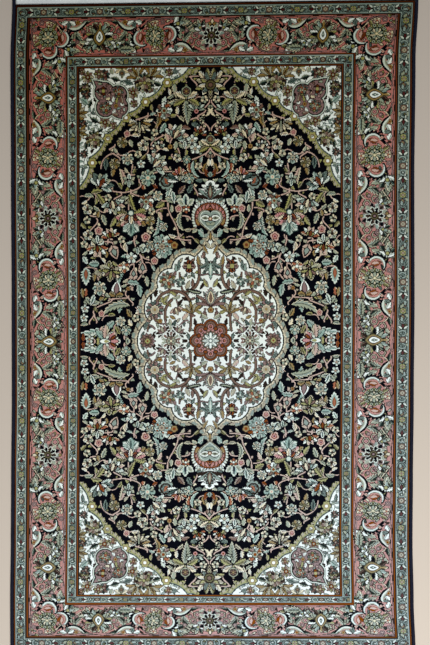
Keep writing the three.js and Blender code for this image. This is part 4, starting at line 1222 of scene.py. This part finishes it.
def tube(spine, profile):
    """Rings of profile points (across, up) set along a spine of (x, y, z): across goes sideways and up
    goes up. Profile may differ from ring to ring. Ends get a fan round the middle of the ring."""
    count, sides = profile.shape[0], profile.shape[1]
    ahead = np.gradient(spine, axis=0)
    sideways = np.stack([ahead[:, 1], -ahead[:, 0]], axis=-1)
    sideways /= np.linalg.norm(sideways, axis=1)[:, None]
    points = np.repeat(spine[:, None, :], sides, axis=1)
    points[:, :, :2] += profile[:, :, :1] * sideways[:, None, :]
    points[:, :, 2] += profile[:, :, 1]
    faces = lattice(count, sides, wrap=True).tolist()
    middles = points[[0, -1]].mean(axis=1)
    first, last = count * sides, count * sides + 1
    faces += [[first, (i + 1) % sides, i] for i in range(sides)]
    faces += [[last, first - sides + i, first - sides + (i + 1) % sides] for i in range(sides)]
    return np.vstack([points.reshape(-1, 3), middles]), faces


# The knotted pile: each face of its top holds a block of knots, four by four

BLOCK = 4
YARN_BASE = 32
RIM_TOP = 4.6
RIM_FOOT = 0.8
BACK_INSET = 0.6


def spread_places(table, total):
    """Places of the blocks' lines from the rug's left or lower edge, as shares of the whole: each band of
    the table is spread evenly over its own millimetres."""
    knots = [row.knots for row in table]
    back = np.interp(np.arange(total, 0, -BLOCK), knots, [row.back for row in table])
    ahead = np.interp(np.arange(0, total + 1, BLOCK), knots, [row.ahead for row in table])
    places = np.concatenate([-back, ahead])
    return (places - places[0]) / (places[-1] - places[0])


def body_points(u, v, inward):
    """Points of the body's outline box at shares u across and v along, drawn in by some millimetres:
    each point lies between the two sides at its height and between the two slanting ends."""
    y = (v - 0.5) * (PILE_LENGTH - 2 * inward)
    for _ in range(2):
        left = side_line(-1, y) + BODY_INSET + inward
        right = side_line(1, y) - BODY_INSET - inward
        x = left + (right - left) * u
        low = end_line(-1, x) + inward
        high = end_line(1, x) - inward
        y = low + (high - low) * v
    return x, y


def waves(x, y):
    """Slow unevenness of the pile, in millimetres: three crossing sine waves, all downwards."""
    swell = np.sin(x / 61 + 0.4 * np.sin(y / 130)) + np.sin(y / 83 + x / 210) + np.sin((x + y) / 37)
    return 0.07 * (swell - 3)


def knot_numbers(knots):
    """For each block of knots one number a row, which holds the row's four yarns as digits in base 32."""
    rows, columns = knots.shape
    blocks = knots.reshape(rows // BLOCK, BLOCK, columns // BLOCK, BLOCK).astype(np.int64)
    return [(blocks[:, row] * YARN_BASE ** np.arange(BLOCK)).sum(axis=-1).ravel() for row in range(BLOCK)]


def pile_mesh(u, v):
    """Points and faces of the pile: the top's grid, a coarser flat back, and between them a wall that
    bends over a ring near the floor and draws in below it."""
    x, y = body_points(*np.meshgrid(u, v), 0.0)
    z = PILE_HEIGHT + waves(x, y)
    z[[0, -1], :] = RIM_TOP
    z[:, [0, -1]] = RIM_TOP
    top = np.stack([x, y, z], axis=-1).reshape(-1, 3)
    back_shape = (len(v[::2]), len(u[::2]))
    back_x, back_y = body_points(*np.meshgrid(u[::2], v[::2]), BACK_INSET)
    back = np.stack([back_x, back_y, 0 * back_x], axis=-1).reshape(-1, 3)
    upper = rim(len(v), len(u))
    lower = rim(*back_shape, len(top))
    ring = top[upper].copy()
    ring[:, 2] = RIM_FOOT
    middle = len(top) + len(back) + np.arange(len(ring))
    after = np.roll(np.arange(len(upper)), -1)
    wall = np.stack([middle, middle[after], upper[after], upper], axis=-1)
    # every edge of the back meets two of the ring
    half = np.arange(len(lower))
    foot = np.stack([lower, np.roll(lower, -1), middle[(2 * half + 2) % len(middle)], middle[2 * half + 1],
                     middle[2 * half]], axis=-1)
    top_faces = lattice(len(v), len(u))
    back_faces = lattice(*back_shape, start=len(top))[:, ::-1]
    return np.vstack([top, back, ring]), top_faces, back_faces, [*wall.tolist(), *foot.tolist()]


def pile_piece(quarter, material):
    """The pile, with its knots' yarns in the attributes knots_0 to knots_3, and the UV maps within, which
    says where in its block a point lies, and OFBake, where top, back and sides each have a strip."""
    knots = np.hstack([quarter[:, ::-1], quarter])
    knots = np.vstack([knots[::-1], knots])
    u = spread_places(COLUMN_SPREAD, RUG.column)
    v = spread_places(ROW_SPREAD, RUG.row)
    points, top, back, sides = pile_mesh(u, v)
    faces = [*top.tolist(), *back.tolist(), *sides]
    made = piece("silk_pile", points, faces, material, ("rug_body",))
    mesh = made.data
    edge = np.full(len(sides), knot_numbers(np.full((BLOCK, BLOCK), NUMBER["navy"]))[0])
    for i, (above, below) in enumerate(zip(knot_numbers(knots), knot_numbers(knots[::2, ::2]))):
        layer = mesh.attributes.new(f"knots_{i}", "FLOAT", "FACE")
        layer.data.foreach_set("value", np.concatenate([above, below, edge]).astype(np.float32))
    corners = (4 * len(top), 4 * len(back), len(mesh.loops) - 4 * len(top) - 4 * len(back))
    above = np.tile([[0, 0], [1, 0], [1, 1], [0, 1]], (len(top), 1))
    below = np.tile([[0, 1], [1, 1], [1, 0], [0, 0]], (len(back), 1))
    within = mesh.uv_layers.new(name="within")
    within.data.foreach_set("uv", np.vstack([above, below, np.full((corners[2], 2), 0.5)]).ravel())
    vertex = np.empty(len(mesh.loops), np.int64)
    mesh.loops.foreach_get("vertex_index", vertex)
    s, t = ((points[vertex, :2] - points[:, :2].min(axis=0)) / np.ptp(points[:, :2], axis=0)).T
    strips = [0.004 + 0.84 * t, 0.86 + 0.1 * t, 0.97 + 0.003 * points[vertex, 2]]
    t = np.choose(np.repeat([0, 1, 2], corners), strips)
    bake = mesh.uv_layers.new(name="OFBake")
    bake.data.foreach_set("uv", np.column_stack([0.004 + 0.992 * s, t]).ravel())
    return made


# The overcast side cords


def cord_piece(direction, material):
    """A flat-bottomed bar whose radius swells once for each turn of the overcasting yarn."""
    turns = 900
    steps = turns * 2 + 1
    corner_x = direction * RUG_WIDTH / 2
    y = np.linspace(end_line(1, corner_x) + STRIP_DEPTH, end_line(-1, corner_x) - STRIP_DEPTH, steps)
    x = side_line(direction, y) - direction * CORD_WIDTH / 2
    spine = np.column_stack([x, y, 0 * x])
    angle = np.linspace(0, 2 * math.pi, 12, endpoint=False) - math.pi / 2 + math.pi / 12
    step = np.arange(steps)
    slack = 0.94 + 0.06 * (step % 2) + 0.015 * np.sin(step * 0.37) * np.sin(step * 0.091)
    across = CORD_WIDTH / 2 * np.cos(angle)[None, :] * slack[:, None]
    up = CORD_HEIGHT / 2 * (1 + 1.12 * np.sin(angle)[None, :] * slack[:, None])
    points, faces = tube(spine, np.stack([across, np.clip(up, 0, CORD_HEIGHT)], axis=-1))
    side = SIDE[direction]
    return piece(f"overcast_cord_{side}", points, faces, material, (f"side_cord_{side}",))


# The woven end strips and their fringe


def cloth_reach(direction):
    """Where the cloth between the side cords starts and stops across an end of the pile."""
    corner = direction * PILE_LENGTH / 2
    return side_line(-1, corner) + BODY_INSET, side_line(1, corner) - BODY_INSET


def strip_piece(direction, material):
    """Woven strip: ribs of weft run across it as low humps of a squared cosine, over a flat underside."""
    ribs = 9
    x, s = np.meshgrid(np.linspace(*cloth_reach(direction), 190), np.linspace(0, 1, ribs * 3 + 1))
    y = end_line(direction, x) + direction * (PARTING_GAP + (STRIP_DEPTH - PARTING_GAP) * s)
    hump = np.cos(2 * math.pi * ribs * s) ** 2
    z = STRIP_HEIGHT * (0.8 + 0.16 * hump + 0.04 * np.sin(x * 1.7) * np.cos(9 * s))
    z[[0, -1]] = STRIP_HEIGHT * 0.6
    upper = np.stack([x, y, z], axis=-1)
    under = upper * [1, 1, 0]
    sheet = lattice(*x.shape)
    edge = rim(*x.shape)
    after = np.roll(edge, -1)
    wall = np.stack([edge, edge + x.size, after + x.size, after], axis=-1)
    if direction > 0:
        faces = np.vstack([sheet, sheet[:, ::-1] + x.size, wall])
    else:
        faces = np.vstack([sheet[:, ::-1], sheet + x.size, wall[:, ::-1]])
    end = END[direction]
    points = np.vstack([upper.reshape(-1, 3), under.reshape(-1, 3)])
    nodes = (f"end_fringe_{end}",)
    return piece(f"woven_strip_{end}", points, faces.tolist(), material, nodes)


def strands(paths, radii, sides=4):
    """Many thin strands at once: paths is (strand, step, xyz) and radii (strand, step). Each ring is a
    regular polygon across the way the strand goes, and each end is a flat cap."""
    count, steps = radii.shape
    ahead = np.gradient(paths, axis=1)
    ahead /= np.linalg.norm(ahead, axis=-1, keepdims=True)
    sideways = np.cross(ahead, [0, 0, 1.0])
    sideways /= np.linalg.norm(sideways, axis=-1, keepdims=True)
    upwards = np.cross(sideways, ahead)
    angle = np.linspace(0, 2 * math.pi, sides, endpoint=False) + math.pi / sides
    ring = (sideways[:, :, None] * np.cos(angle)[None, None, :, None]
            + upwards[:, :, None] * np.sin(angle)[None, None, :, None])
    points = paths[:, :, None] + ring * radii[:, :, None, None]
    first = (np.arange(count) * steps * sides)[:, None, None]
    faces = (lattice(steps, sides, wrap=True)[None] + first).reshape(-1, 4)
    caps = np.arange(sides)
    caps = (np.stack([caps[::-1], caps + (steps - 1) * sides])[None] + first).reshape(-1, sides)
    return points.reshape(-1, 3), [*faces.tolist(), *caps.tolist()]


def lock_places(direction):
    """Roots, lengths and leans of an end's locks, by the same sums of sines as in the solids."""
    index = np.arange(LOCKS_PER_END)
    left, right = cloth_reach(direction)
    root_x = left + 3.6 + (right - left - 7.2) * index / (LOCKS_PER_END - 1)
    root_y = end_line(direction, root_x) + direction * (STRIP_DEPTH - 5)
    length = 5 + FRINGE_LENGTH - 2.5 * (1 + np.sin(4.7 * index + direction))
    lean = (3.2 * np.sin(0.21 * index + direction) + 1.6 * np.sin(0.57 * index)
            + 1.1 * np.sin(12.9898 * (index + 1) + 3 * direction))
    return root_x, root_y, length, lean


def fringe_piece(direction, material):
    """Locks of warp ends: each gathers its strands in a knot near the strip and lets them spread again."""
    per_lock = 9
    locks = lock_places(direction)
    root_x, root_y, length, lean = (np.repeat(values, per_lock)[:, None] for values in locks)
    number = np.tile(np.arange(per_lock), LOCKS_PER_END)[:, None]
    lock = np.repeat(np.arange(LOCKS_PER_END), per_lock)[:, None]
    share = np.linspace(0, 1, 12)[None, :]
    gather = 1 - 0.75 * np.exp(-((share - 0.16) / 0.09) ** 2)
    drift = 0.5 * np.sin(5 * share + lock * 1.3 + number * 2.1) * share
    spread = (number / (per_lock - 1) - 0.5) * (5.6 + 1.4 * share) * gather
    x = root_x + lean * share ** 1.6 + spread + drift
    trim = 1 - 0.035 * (1 + np.sin(number * 3.1 + lock * 1.7)) * (share > 0.5)
    y = root_y + direction * length * share * trim
    lift = np.abs(np.sin(number * 2.4))
    height = 0.75 + (1.0 - 0.6 * share) * lift + 1.3 * np.exp(-((share - 0.16) / 0.07) ** 2) * lift
    radius = 0.55 - 0.1 * share + 0 * x
    radius[:, -1] = 0.2
    points, faces = strands(np.stack([x, y, height + 0 * x], axis=-1), radius)
    points[:, 2] = np.maximum(points[:, 2], 0.05)

    # the knots: short fat strands of eight sides
    root_x, root_y, length, lean = (values[:, None] for values in locks)
    share = np.linspace(0.105, 0.215, 7)[None, :]
    swell = np.sin(math.pi * np.linspace(0.12, 0.88, 7))[None, :] ** 0.6
    x = root_x + lean * share ** 1.6
    y = root_y + direction * length * share
    paths = np.stack([x, y, 2.1 + 0 * x], axis=-1)
    knot_points, knot_faces = strands(paths, 2.05 * swell + 0 * x, sides=8)
    faces += [[corner + len(points) for corner in face] for face in knot_faces]
    return piece(f"fringe_{END[direction]}", np.vstack([points, knot_points]), faces, material)


# Materials


class Socket:
    """A node's output that can be used in sums; every operator adds a Math node to the material."""

    def __init__(self, shader, output):
        self.shader = shader
        self.output = output

    def _math(self, operation, *values):
        return self.shader.node("Math", {"operation": operation}, *values)

    def __add__(self, other):
        return self._math("ADD", self, other)

    def __sub__(self, other):
        return self._math("SUBTRACT", self, other)

    def __rsub__(self, other):
        return self._math("SUBTRACT", other, self)

    def __mul__(self, other):
        return self._math("MULTIPLY", self, other)

    __radd__ = __add__
    __rmul__ = __mul__

    def floor(self):
        return self._math("FLOOR", self)

    def sine(self):
        return self._math("SINE", self)

    def equals(self, number):
        return self._math("COMPARE", self, number, 0.5)

    def clamped(self):
        return self.shader.node("Clamp", None, self)


class Shader:
    """A material and its one Principled shader."""

    def __init__(self, name, gloss=0.5, **constants):
        self.material = bpy.data.materials.new(name)
        self.material.use_nodes = True
        self.tree = self.material.node_tree
        self.principled = self.tree.nodes["Principled BSDF"]
        self.principled.inputs["Specular IOR Level"].default_value = gloss
        self.finish(**constants)

    def node(self, kind, settings=None, *values, **named):
        """Adds a node of that type: its settings, then its inputs in order or by name. Gives its first
        output, or the one that is named as output."""
        output = named.pop("output", 0)
        made = self.tree.nodes.new("ShaderNode" + kind)
        for setting, value in (settings or {}).items():
            setattr(made, setting, value)
        for key, value in [*enumerate(values), *named.items()]:
            self.feed(made.inputs[key], value)
        return Socket(self, made.outputs[output])

    def feed(self, target, value):
        if isinstance(value, Socket):
            self.tree.links.new(value.output, target)
        else:
            target.default_value = value

    def parts(self, kind, value, *outputs):
        """Some of the numbers that a vector or a colour is made of."""
        return [self.node(kind, None, value, output=i) for i in outputs]

    def place(self):
        return self.node("TexCoord", None, output="Object")

    def noise(self, vector, scale, detail=2.0):
        return self.node("TexNoise", None, vector, Scale=scale, Detail=detail)

    def ramp(self, value, colours, steps):
        """Constant colours by number: stop i holds from i / steps on."""
        made = self.tree.nodes.new("ShaderNodeValToRGB")
        made.color_ramp.interpolation = "CONSTANT"
        stops = made.color_ramp.elements
        while len(stops) < len(colours):
            stops.new(1)
        for i, colour in enumerate(colours):
            stops[i].position = i / steps
            stops[i].color = colour
        self.feed(made.inputs[0], value)
        return Socket(self, made.outputs[0])

    def mix(self, factor, one, other):
        made = self.tree.nodes.new("ShaderNodeMix")
        made.data_type = "RGBA"
        self.feed(made.inputs["Factor"], factor)
        self.feed(made.inputs[6], one)
        self.feed(made.inputs[7], other)
        return Socket(self, made.outputs[2])

    def finish(self, **sockets):
        for name, value in sockets.items():
            self.feed(self.principled.inputs[name.replace("_", " ").title()], value)
        return self.material


def linear(colour):
    """A display colour of 0 to 255 as linear light: ((c + 0.055) / 1.055) ** 2.4 above the dark end."""
    c = np.asarray(colour, float) / 255
    return (*np.where(c > 0.04045, ((c + 0.055) / 1.055) ** 2.4, c / 12.92), 1)


# Tints of the painted shade and of the painted sheen on the pile, as shares of red, green and blue
PAINTED_SHADE_TINT = (1.02, 0.98, 0.86, 1)
PAINTED_SHEEN_TINT = (0.89, 0.98, 1.08, 1)


def pile_material():
    """Each point finds its knot: the face's numbers hold four by four yarns, and the place within the face
    says which. Painted sheen then makes the colour paler, greyer and cooler towards the bottom right, and
    painted shade makes it darker, deeper and warmer towards the top left and darker still at the top end.
    Orange yarns keep their saturation in the painted sheen and darken most in the painted shade. The tone
    varies by row, patch and fleck, as hand-dyed silk does."""
    shader = Shader("silk_pile", gloss=0.02)
    within = shader.node("UVMap", {"uv_map": "within"})
    u, v = (share * (BLOCK - 0.0001) for share in shader.parts("SeparateXYZ", within, 0, 1))
    column, row = u.floor(), v.floor()
    numbers = [shader.node("Attribute", {"attribute_name": f"knots_{i}"}, output="Fac") for i in range(BLOCK)]
    held = sum(numbers[i] * row.equals(i) for i in range(BLOCK))
    power = sum(column.equals(i) * float(YARN_BASE) ** -i for i in range(BLOCK))
    shifted = ((held + 0.5) * power).floor()
    yarn = shifted - (shifted * (1 / YARN_BASE)).floor() * YARN_BASE
    colour = shader.ramp((yarn + 0.5) * (1 / YARN_BASE), [linear(c) for c in YARNS.values()], YARN_BASE)
    place = shader.place()
    x, y = shader.parts("SeparateXYZ", place, 0, 1)
    # Painted sheen: the colour grows paler, greyer and cooler towards the bottom right, in soft patches
    painted_sheen = (x * 0.25 - y * 0.55 + shader.noise(place, 2.6, 1.0) * 0.5 + 0.25).clamped()
    # Painted shade: darker, deeper and warmer towards the top left, and darker again at the top end
    painted_shade = (y * 1.1 - x * 0.45 + 0.05).clamped()
    painted_end_shade = (y * 3.4 - 1.5).clamped()
    red, blue = shader.parts("SeparateColor", colour, 0, 2)
    orange = ((red - blue * 8) * 7).clamped()
    # Painted light in gamma, value and saturation: the painted shade darkens and deepens, most of all on
    # orange yarns; the painted sheen lifts the middle tones, dims the whole a little and greys all but orange
    # yarns
    colour = shader.node("Gamma", None, colour, 1.1 + painted_shade * 0.15 - painted_sheen * 0.18)
    value = (1.0 - painted_shade * (0.18 + orange * 0.4)) * (1.04 - painted_sheen * 0.16) * (1.0 - painted_end_shade * 0.16)
    painted_sheen_saturation = 1.0 - painted_sheen * 0.26 + orange * painted_sheen * painted_sheen * 0.32
    colour = shader.node("HueSaturation", None, Saturation=painted_sheen_saturation, Value=value, Color=colour)
    multiply = {"operation": "MULTIPLY"}
    # The painted shade tints the colour warmer and the painted sheen tints it cooler
    colour = shader.node("VectorMath", multiply, colour, shader.mix(painted_sheen, PAINTED_SHADE_TINT, PAINTED_SHEEN_TINT))
    rows_of_dye = shader.noise(shader.node("Mapping", None, place, Scale=(3, 160, 1)), 1.0)
    patches = shader.noise(place, 9.0, 3.0)
    flecks = shader.noise(place, 520.0)
    tone = 0.66 + rows_of_dye * 0.22 + patches * 0.24 + flecks * 0.3
    colour = shader.node("VectorMath", {"operation": "SCALE"}, colour, Scale=tone)
    tuft = ((u - column) * math.pi).sine() * ((v - row) * math.pi).sine()
    height = tuft * 0.5 + flecks * 0.5
    normal = shader.node("Bump", None, Strength=0.5, Distance=0.0008, Height=height)
    return shader.finish(base_color=colour, roughness=0.5 + patches * 0.16, normal=normal)


def cord_material():
    """Navy overcasting yarn: fine turns across the cord, with fuzz and slightly worn, paler high places."""
    shader = Shader("overcast_yarn", gloss=0.1)
    place = shader.place()
    along = shader.parts("SeparateXYZ", place, 1)[0]
    fuzz = shader.noise(place, 900.0, 3.0)
    turns = (along * 3600 + fuzz * 2).sine()
    patches = shader.noise(place, 30.0)
    colour = shader.mix(0.3 * patches + 0.25 * fuzz, linear((7, 8, 16)), linear((36, 42, 66)))
    normal = shader.node("Bump", None, Strength=0.6, Distance=0.0004, Height=turns * 0.5 + fuzz)
    return shader.finish(base_color=colour, roughness=0.6 + fuzz * 0.2, normal=normal)


def warp_material(name, threads):
    """Pale warp yarn: fine threads along or across it, a little uneven in tone."""
    shader = Shader(name, sheen_weight=0.25)
    place = shader.place()
    yarn = shader.noise(shader.node("Mapping", None, place, Scale=threads), 1.0, 3.0)
    patches = shader.noise(place, 24.0)
    colour = shader.mix(yarn * 0.8 + patches * 0.4, linear((150, 164, 170)), linear((240, 243, 238)))
    normal = shader.node("Bump", None, Strength=0.5, Distance=0.0005, Height=yarn)
    return shader.finish(base_color=colour, roughness=0.6 + yarn * 0.2, normal=normal)


def floor_material():
    """Plain pale matt floor with the faintest unevenness of tone."""
    shader = Shader("floor", roughness=0.8)
    cloud = shader.noise(shader.place(), 0.7)
    return shader.finish(base_color=shader.mix(cloud, linear((184, 173, 160)), linear((190, 179, 166))))


# The rug's pieces

warp = warp_material("warp_yarn", (900, 60, 900))
weave = warp_material("woven_strip", (500, 700, 500))
overcast = cord_material()
pile = pile_piece(draw(), pile_material())
cords = [cord_piece(direction, overcast) for direction in (-1, 1)]
ends = [make(direction, material) for direction in (1, -1)
        for make, material in ((strip_piece, weave), (fringe_piece, warp))]

# Floor, lights and camera

FLOOR_REACH = 6.0


def floor_piece():
    """A flat square under the rug."""
    corners = np.array([[-1, -1, 0], [1, -1, 0], [1, 1, 0], [-1, 1, 0]]) * FLOOR_REACH
    mesh = bpy.data.meshes.new("floor")
    mesh.from_pydata(corners, [], [(0, 1, 2, 3)])
    mesh.materials.append(floor_material())
    made = bpy.data.objects.new("floor", mesh)
    bpy.context.scene.collection.objects.link(made)


def area_light(name, place, target, size, watts):
    """A soft square light that looks from a place at a target, in metres."""
    lamp = bpy.data.lights.new(name, "AREA")
    lamp.size = size
    lamp.energy = watts
    made = bpy.data.objects.new(name, lamp)
    made.location = place
    made.rotation_euler = (Vector(target) - Vector(place)).to_track_quat("-Z", "Y").to_euler()
    bpy.context.scene.collection.objects.link(made)


floor_piece()
area_light("window_light", (0.45, -1.5, 2.3), (0.4, -1.2, 0), 1.6, 84)
area_light("room_light", (0.2, -0.4, 3.4), (0.1, -0.3, 0), 3.0, 26)
world = bpy.data.worlds.new("studio")
world.use_nodes = True
world.node_tree.nodes["Background"].inputs["Color"].default_value = (0.9, 0.94, 1, 1)
world.node_tree.nodes["Background"].inputs["Strength"].default_value = 0.12
bpy.context.scene.world = world
bpy.context.scene.view_settings.view_transform = "Standard"

# The photo's frame is seen from straight overhead: its middle on the rug, and what it takes in
PHOTO_SIZE = (430, 645)
PHOTO_MM_PER_PIXEL = 2.34
PHOTO_RUG_MIDDLE = (212.7, 327.4)
CAMERA_HEIGHT = 2.6

camera_data = bpy.data.cameras.new("overhead")
camera = bpy.data.objects.new("overhead", camera_data)
camera_x = (PHOTO_SIZE[0] / 2 - PHOTO_RUG_MIDDLE[0]) * PHOTO_MM_PER_PIXEL + SHIFT[0]
camera_y = (PHOTO_RUG_MIDDLE[1] - PHOTO_SIZE[1] / 2) * PHOTO_MM_PER_PIXEL + SHIFT[1]
camera.location = (camera_x * MM, camera_y * MM, CAMERA_HEIGHT)
camera_data.sensor_fit = "VERTICAL"
camera_data.sensor_height = 24
seen_height = PHOTO_SIZE[1] * PHOTO_MM_PER_PIXEL * MM
camera_data.lens = camera_data.sensor_height * (CAMERA_HEIGHT - PILE_HEIGHT * MM) / seen_height
bpy.context.scene.collection.objects.link(camera)
bpy.context.scene.camera = camera
